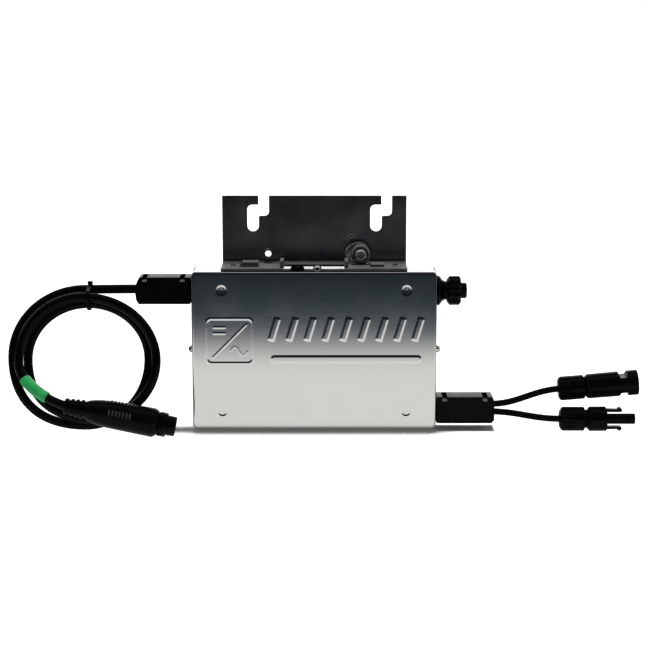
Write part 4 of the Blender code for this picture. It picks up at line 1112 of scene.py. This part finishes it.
def make_sleeve():
    first, last, steps = 0.27, 0.66, 24
    points = [ac_tail(first + (last - first) * step / steps) for step in range(steps + 1)]

    def radius(share):
        from_end = min(share, 1 - share)
        return AC_CABLE_RADIUS + 0.0004 + 0.0007 * min(1.0, from_end / 0.04)

    settle(tube("green_marker_sleeve", points, radius), "green_sleeve", "ac_lead", "cable_marker_sleeve")


def make_tie():
    settle(refined("tie_band", "cable_tie", 0.0003), "black_plastic", "ac_lead", "cable_tie")


def grip_ribs(along, turn, middle_degrees, half_degrees):
    """0 beside the plug's grip ribs, and 1 on the crest of one; they lie in a patch round middle_degrees."""
    first_rib, pitch, ribs = 0.0378, 0.0029, 7
    place = (along - first_rib) / pitch
    nearest = min(max(round(place), 0), ribs - 1)
    crest = max(0.0, 1.0 - (abs(place - nearest) / 0.30) ** 2)
    off_middle = (math.degrees(turn) - middle_degrees + 180.0) % 360.0 - 180.0
    return math.sqrt(crest) * max(0.0, 1.0 - (abs(off_middle) / half_degrees) ** 4)


def front_ribs(along, radius, turn):
    return grip_ribs(along, turn, 69.0, 13.0) if radius > 0.0085 else 0.0


def plug_form(along, radius, turn):
    """Grip ribs on the plug's front and on its top."""
    return radius + 0.0006 * max(front_ribs(along, radius, turn), grip_ribs(along, turn, 0.0, 24.0))


def make_ac_plug():
    outline = [(0.0, 0.0044), (0.0, 0.0060)]
    for rib in range(4):
        along = 0.0010 + 0.0042 * rib
        swell = 0.0004 * rib
        outline += [(along, 0.0066 + swell), (along + 0.0024, 0.0068 + swell)]
        outline += [(along + 0.0026, 0.0058 + swell), (along + 0.0040, 0.0059 + swell)]
    outline += [(0.0200, 0.0084), (0.0240, 0.0095), (0.0290, 0.0105), (0.0370, 0.0113), (0.0570, 0.0117)]
    outline += [(0.0745, 0.0120), (0.0775, 0.0102), (0.0775, 0.0070), (0.0858, 0.0070), (0.0858, 0.0084)]
    outline += [(PLUG_LENGTH, 0.0080)]
    socket = PLUG_LENGTH - 0.0102
    bore = [(0.0, 0.0040), (socket, 0.0040), (socket, 0.0058), (PLUG_LENGTH, 0.0058)]
    # the front grip ribs carry a painted highlight, stored on the vertices
    plug = turned(
        "ac_plug_shell", outline, PLUG_START, PLUG_DIRECTION, bore=bore,
        form=outside_only(plug_form, 0.0085), worn=front_ribs, ease=0.0005, spacing=0.0004, steps=96,
    )
    settle(plug, "black_plastic", "ac_lead", "ac_plug_body")


def make_plug_collar():
    start = PLUG_START + PLUG_DIRECTION * (COLLAR_PLACE + 0.0003)
    length = 0.0077
    outline = [(0.0, 0.0092), (0.0008, 0.0100), (length - 0.0008, 0.0100), (length, 0.0090)]
    form = outside_only(grooves(8, 0.30, 0.0022, -0.001, length * 0.62, fade=0.0008), 0.0080)
    bore = [(0.0, 0.0074), (length, 0.0074)]
    collar = turned(
        "locking_collar", outline, start, PLUG_DIRECTION, bore=bore, form=form, spacing=0.0004, steps=128
    )
    settle(collar, "black_plastic", "ac_plug_collar", "ac_plug_collar")


# DC leads.


def make_dc_wire(name, node, start, connector_start, direction):
    """A wire from its gland into its connector."""
    handle = 0.022
    enter = connector_start - direction * handle
    steps = 48
    leave = start + RIGHT * handle
    shares = [step / steps for step in range(steps + 1)]
    points = [bezier(start, leave, enter, connector_start, share) for share in shares]
    points.append(connector_start + direction * 0.0240)
    wire = settle(tube(name, points, DC_WIRE_RADIUS, 24), "cable_jacket", None, node)
    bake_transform(wire)


def make_cable_nut(name, node, start, direction, length, radius):
    outline = [(0.0, radius - 0.0030), (0.0014, radius - 0.0006), (0.0030, radius)]
    outline += [(length - 0.0008, radius), (length, radius - 0.0010)]
    hole, inside, shoulder = DC_WIRE_RADIUS + 0.0002, 0.0066, 0.0070
    bore = [(0.0, hole), (shoulder, hole), (shoulder, inside), (length, inside)]
    form = outside_only(grooves(12, 0.22, 0.0008, 0.0006, 0.0120, fade=0.0012), 0.0067)
    fine = 0.0006
    nut = turned(name, outline, start, direction, bore=bore, form=form, ease=fine, spacing=fine, steps=144)
    return settle(nut, "black_plastic", node, node)


def prism(name, outline, centre, direction, width):
    """A cutter: outline in the plane of direction and up, width across."""
    first, _ = across(direction)
    shape = bmesh.new()
    rings = []
    for side in (-1, 1):
        offset = FRONT * (side * width / 2)
        rings.append([shape.verts.new(centre + direction * x + first * z + offset) for x, z in outline])
    ring_faces(shape, rings, False)
    shape.faces.new(rings[0])
    shape.faces.new(rings[-1])
    return add_piece(name, shape)


def make_dc_pos_lead():
    direction = Vector(JOINTS["dc_pos_nut"]["axis"]).normalized()
    start = Vector(JOINTS["dc_pos_nut"]["pos_m"])
    nut_length = 0.0222
    length = 0.0672
    outline = [(0.0090, 0.0062), (nut_length + 0.0003, 0.0062), (nut_length + 0.0003, 0.0080)]
    outline += [(nut_length + 0.0028, 0.0103), (length - 0.0006, 0.0106), (length, 0.0100)]
    bore = [(0.0090, 0.0028), (length - 0.0280, 0.0028), (length - 0.0280, 0.0042), (length, 0.0042)]
    body = turned("pos_connector_shell", outline, start, direction, bore=bore, ease=0.0005, spacing=0.004)
    window_centre = start + direction * 0.0548
    cutters = []
    for side in (-1, 1):
        trapezoid = [(-0.0044, 0.0115), (-0.0026, 0.0065), (0.0026, 0.0065), (0.0044, 0.0115)]
        trapezoid = [(x, side * z) for x, z in trapezoid]
        cutters.append(prism(f"window_{side}", trapezoid, window_centre, direction, 0.030))
    settle(carve(body, *cutters), "black_plastic", "dc_pos_lead", "dc_pos_connector")
    make_cable_nut("pos_cable_nut", "dc_pos_nut", start, direction, nut_length, 0.0101)
    make_dc_wire("dc_wire_upper", "dc_pos_wire", DC_POS_START, start, direction)


def make_dc_neg_lead():
    direction = Vector(JOINTS["dc_neg_nut"]["axis"]).normalized()
    start = Vector(JOINTS["dc_neg_nut"]["pos_m"])
    nut_length = 0.0207
    collar_end = 0.0389
    length = 0.0627
    outline = [(0.0090, 0.0062), (nut_length + 0.0003, 0.0062), (nut_length + 0.0003, 0.0076)]
    outline += [(nut_length + 0.0020, 0.0076), (nut_length + 0.0042, 0.0102), (collar_end - 0.0005, 0.0102)]
    outline += [(collar_end, 0.0097), (collar_end, 0.0062), (collar_end + 0.0010, 0.0044), (length, 0.0044)]
    bore = [(0.0090, 0.0028), (length, 0.0028)]
    body = turned("neg_connector_shell", outline, start, direction, bore=bore, ease=0.0004, spacing=0.004)
    press_room = 0.0009
    cutters = []
    for name, side in (("dc_neg_latch_upper", 1), ("dc_neg_latch_lower", -1)):
        low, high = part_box(name)
        inner = low.z if side > 0 else high.z
        pocket_low = Vector((low.x - 0.0005, low.y - 0.0004, min(inner, inner + side * 0.010)))
        pocket_high = Vector((low.x + 0.0060, high.y + 0.0004, max(inner, inner + side * 0.010)))
        shape = bmesh.new()
        pocket_low -= UP * press_room * (side > 0)
        pocket_high += UP * press_room * (side < 0)
        rounded_block(shape, pocket_low, pocket_high, 0.0002, 1)
        cutters.append(add_piece(f"{name}_pocket", shape))
    settle(carve(body, *cutters), "black_plastic", "dc_neg_lead", "dc_neg_connector")
    for name, side in (("dc_neg_latch_upper", 1), ("dc_neg_latch_lower", -1)):
        make_latch(f"{name}_arm", name, side)
    make_cable_nut("neg_cable_nut", "dc_neg_nut", start, direction, nut_length, 0.0100)
    make_dc_wire("dc_wire_lower", "dc_neg_wire", DC_NEG_START, start, direction)


def make_latch(name, node, side):
    """A springy arm with a hooked tip."""
    low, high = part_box(node)
    length = high.x - low.x
    root = Vector((low.x, (low.y + high.y) / 2, low.z if side > 0 else high.z))
    outline = [(0.0, 0.0), (0.0, 0.0024), (length - 0.0042, 0.0020), (length - 0.0034, 0.0034)]
    outline += [(length - 0.0008, 0.0032), (length, 0.0014), (length - 0.0010, 0.0)]
    outline = eased(outline, 0.0006, closed=True)
    if side < 0:
        outline = [(x, -z) for x, z in outline][::-1]
    arm = plate(name, [outline], high.y - low.y, root, FRONT, edge=0.0003)
    settle(arm, "black_plastic", node, node)


# Nodes that stay.


def finish_kept_nodes():
    """Every node that still shows takes the material of its slot, and casts no shadow."""
    for node in frame["nodes"].values():
        if node.hide_render:
            continue
        slot = node.material_slots[0].material.name
        node.material_slots[0].material = MATERIALS[slot]
        node.visible_shadow = False


# Stage.


def grey(level):
    return (level, level, level)


FLOOR_SEEN = 1.3
FLOOR_GAP = 0.0030
# What the floor mirrors at distances from the X axis, eased from stop to stop: a painted shadow under the
# object, white near it, and then falling to the blue-black of the studio.
FLOOR_FADE = (
    (0.03, grey(0.16)),
    (0.07, (0.95, 0.95, 0.93)),
    (0.28, (0.98, 0.98, 0.95)),
    (0.50, (0.10, 0.12, 0.14)),
    (0.60, (0.035, 0.050, 0.060)),
    (1.00, (0.012, 0.015, 0.020)),
)
# What the floor mirrors at distances to the sides.
FLOOR_SIDES = ((0.38, grey(1.0)), (0.48, grey(0.15)))
# What the studio's walls and ceiling mirror, from the front (0) to the back (1).
REFLECTED_STUDIO = (
    (0.325, (0.012, 0.014, 0.018)),
    (0.44, grey(0.70)),
    (0.54, grey(0.70)),
    (0.625, grey(0.05)),
    (0.85, grey(0.05)),
    (0.94, grey(1.60)),
)


def lit_by_rays(tree, camera, glossy, other):
    """Mixes three shaders: what the camera sees, what reflections see, and what lights the scene."""
    path = tree.nodes.new("ShaderNodeLightPath")
    first = tree.nodes.new("ShaderNodeMixShader")
    second = tree.nodes.new("ShaderNodeMixShader")
    tree.links.new(path.outputs["Is Glossy Ray"], first.inputs["Fac"])
    tree.links.new(other, first.inputs[1])
    tree.links.new(glossy, first.inputs[2])
    tree.links.new(path.outputs["Is Camera Ray"], second.inputs["Fac"])
    tree.links.new(first.outputs["Shader"], second.inputs[1])
    tree.links.new(camera, second.inputs[2])
    return second.outputs["Shader"]


def ramp(tree, factor, stops, interpolation="LINEAR"):
    """A colour ramp from (position, colour) stops."""
    node = tree.nodes.new("ShaderNodeValToRGB")
    node.color_ramp.interpolation = interpolation
    elements = node.color_ramp.elements
    while len(elements) < len(stops):
        elements.new(0.5)
    for element, (position, colour) in zip(elements, stops):
        element.position = position
        element.color = (*colour, 1.0)
    tree.links.new(factor, node.inputs["Fac"])
    return node.outputs["Color"]


def emission(tree, kind, colour, strength):
    node = tree.nodes.new(kind)
    if isinstance(colour, tuple):
        node.inputs["Color"].default_value = (*colour, 1.0)
    else:
        tree.links.new(colour, node.inputs["Color"])
    node.inputs["Strength"].default_value = strength
    return node


def ranged(tree, value, start, end):
    node = tree.nodes.new("ShaderNodeMapRange")
    node.inputs["From Min"].default_value = start
    node.inputs["From Max"].default_value = end
    tree.links.new(value, node.inputs["Value"])
    return node.outputs["Result"]


def size_of(tree, value):
    """A value without its sign."""
    node = tree.nodes.new("ShaderNodeMath")
    node.operation = "ABSOLUTE"
    tree.links.new(value, node.inputs[0])
    return node.outputs["Value"]


def make_floor():
    """A white floor that mirrors as white near the object, with a painted shadow under it, and fades to the
    dark studio further off.
    """
    reach = 4.0
    floor_z = CAD_BOX[0].z - FLOOR_GAP
    shape = bmesh.new()
    corners = ((-reach, -reach), (reach, -reach), (reach, reach), (-reach, reach))
    shape.faces.new([shape.verts.new((x, y, floor_z)) for x, y in corners])
    floor = add_piece("studio_floor", shape)
    material = bpy.data.materials.new("white_floor")
    material.use_nodes = True
    tree = material.node_tree
    tree.nodes.clear()
    place = tree.nodes.new("ShaderNodeNewGeometry").outputs["Position"]
    split = tree.nodes.new("ShaderNodeSeparateXYZ")
    tree.links.new(place, split.inputs["Vector"])
    fade = ramp(tree, size_of(tree, split.outputs["Y"]), FLOOR_FADE, "EASE")
    mirrored = emission(tree, "ShaderNodeEmission", fade, 1.0)
    sides = ramp(tree, size_of(tree, split.outputs["X"]), FLOOR_SIDES)
    tree.links.new(sides, mirrored.inputs["Strength"])
    seen = tree.nodes.new("ShaderNodeBsdfDiffuse")
    seen.inputs["Color"].default_value = (FLOOR_SEEN, FLOOR_SEEN, FLOOR_SEEN, 1.0)
    lit = tree.nodes.new("ShaderNodeBsdfDiffuse")
    lit.inputs["Color"].default_value = (0.8, 0.8, 0.8, 1.0)
    mixed = lit_by_rays(tree, seen.outputs["BSDF"], mirrored.outputs["Emission"], lit.outputs["BSDF"])
    output = tree.nodes.new("ShaderNodeOutputMaterial")
    tree.links.new(mixed, output.inputs["Surface"])
    floor.data.materials.append(material)


def make_world():
    """White to the eye; reflections see a dark studio, a bright backdrop behind and a pale ring overhead."""
    world = bpy.data.worlds.new("studio")
    bpy.context.scene.world = world
    world.use_nodes = True
    tree = world.node_tree
    tree.nodes.clear()
    direction = tree.nodes.new("ShaderNodeTexCoord").outputs["Generated"]
    split = tree.nodes.new("ShaderNodeSeparateXYZ")
    tree.links.new(direction, split.inputs["Vector"])
    around = ramp(tree, ranged(tree, split.outputs["Y"], -1.0, 1.0), REFLECTED_STUDIO)
    seen = emission(tree, "ShaderNodeBackground", (1.0, 1.0, 1.0), 1.0)
    mirrored = emission(tree, "ShaderNodeBackground", around, 1.0)
    lit = emission(tree, "ShaderNodeBackground", (1.0, 1.0, 1.0), 0.2)
    mixed = lit_by_rays(tree, *(node.outputs["Background"] for node in (seen, mirrored, lit)))
    output = tree.nodes.new("ShaderNodeOutputWorld")
    tree.links.new(mixed, output.inputs["Surface"])


def make_lamp():
    """A wide light above that grounds the object with a short soft shadow; no surface mirrors it."""
    lamp = bpy.data.lights.new("overhead_lamp", "SUN")
    lamp.energy = 3.0
    lamp.angle = math.radians(7.0)
    holder = bpy.data.objects.new("overhead_lamp", lamp)
    holder.rotation_euler = (math.radians(-3.0), 0.0, 0.0)
    holder.visible_glossy = False
    bpy.context.scene.collection.objects.link(holder)


def make_camera():
    """The camera looks slightly down on the object, from in front."""
    distance = 1.5
    elevation = math.radians(10.8)
    seen_width = 0.5548
    sensor = 36.0
    target = Vector((0.0177, CASE_FRONT, CASE_CENTRE + 0.0234))
    camera = bpy.data.cameras.new("camera")
    camera.sensor_width = sensor
    camera.lens = sensor * distance / seen_width
    holder = bpy.data.objects.new("camera", camera)
    bpy.context.scene.collection.objects.link(holder)
    back_off = Vector((0.0, -math.cos(elevation), math.sin(elevation)))
    holder.location = target + back_off * distance
    holder.rotation_euler = (-back_off).to_track_quat("-Z", "Y").to_euler()
    bpy.context.scene.camera = holder


def make_stage():
    make_floor()
    make_world()
    make_lamp()
    make_camera()
    bpy.context.scene.view_settings.view_transform = "Standard"
    bpy.context.scene.view_settings.look = "None"


make_case()
make_bracket()
make_clinch_nut()
make_ground_rivet()
make_ground_stack()
make_gland("ac_cable_gland", "ac_gland", LEFT, AC_GLAND_LENGTH, nose=True)
make_gland("dc_cable_gland", "dc_gland", RIGHT, DC_GLAND_LENGTH, nose=False)
make_port()
make_ac_cable()
make_sleeve()
make_tie()
make_ac_plug()
make_plug_collar()
make_dc_pos_lead()
make_dc_neg_lead()
finish_kept_nodes()
make_stage()
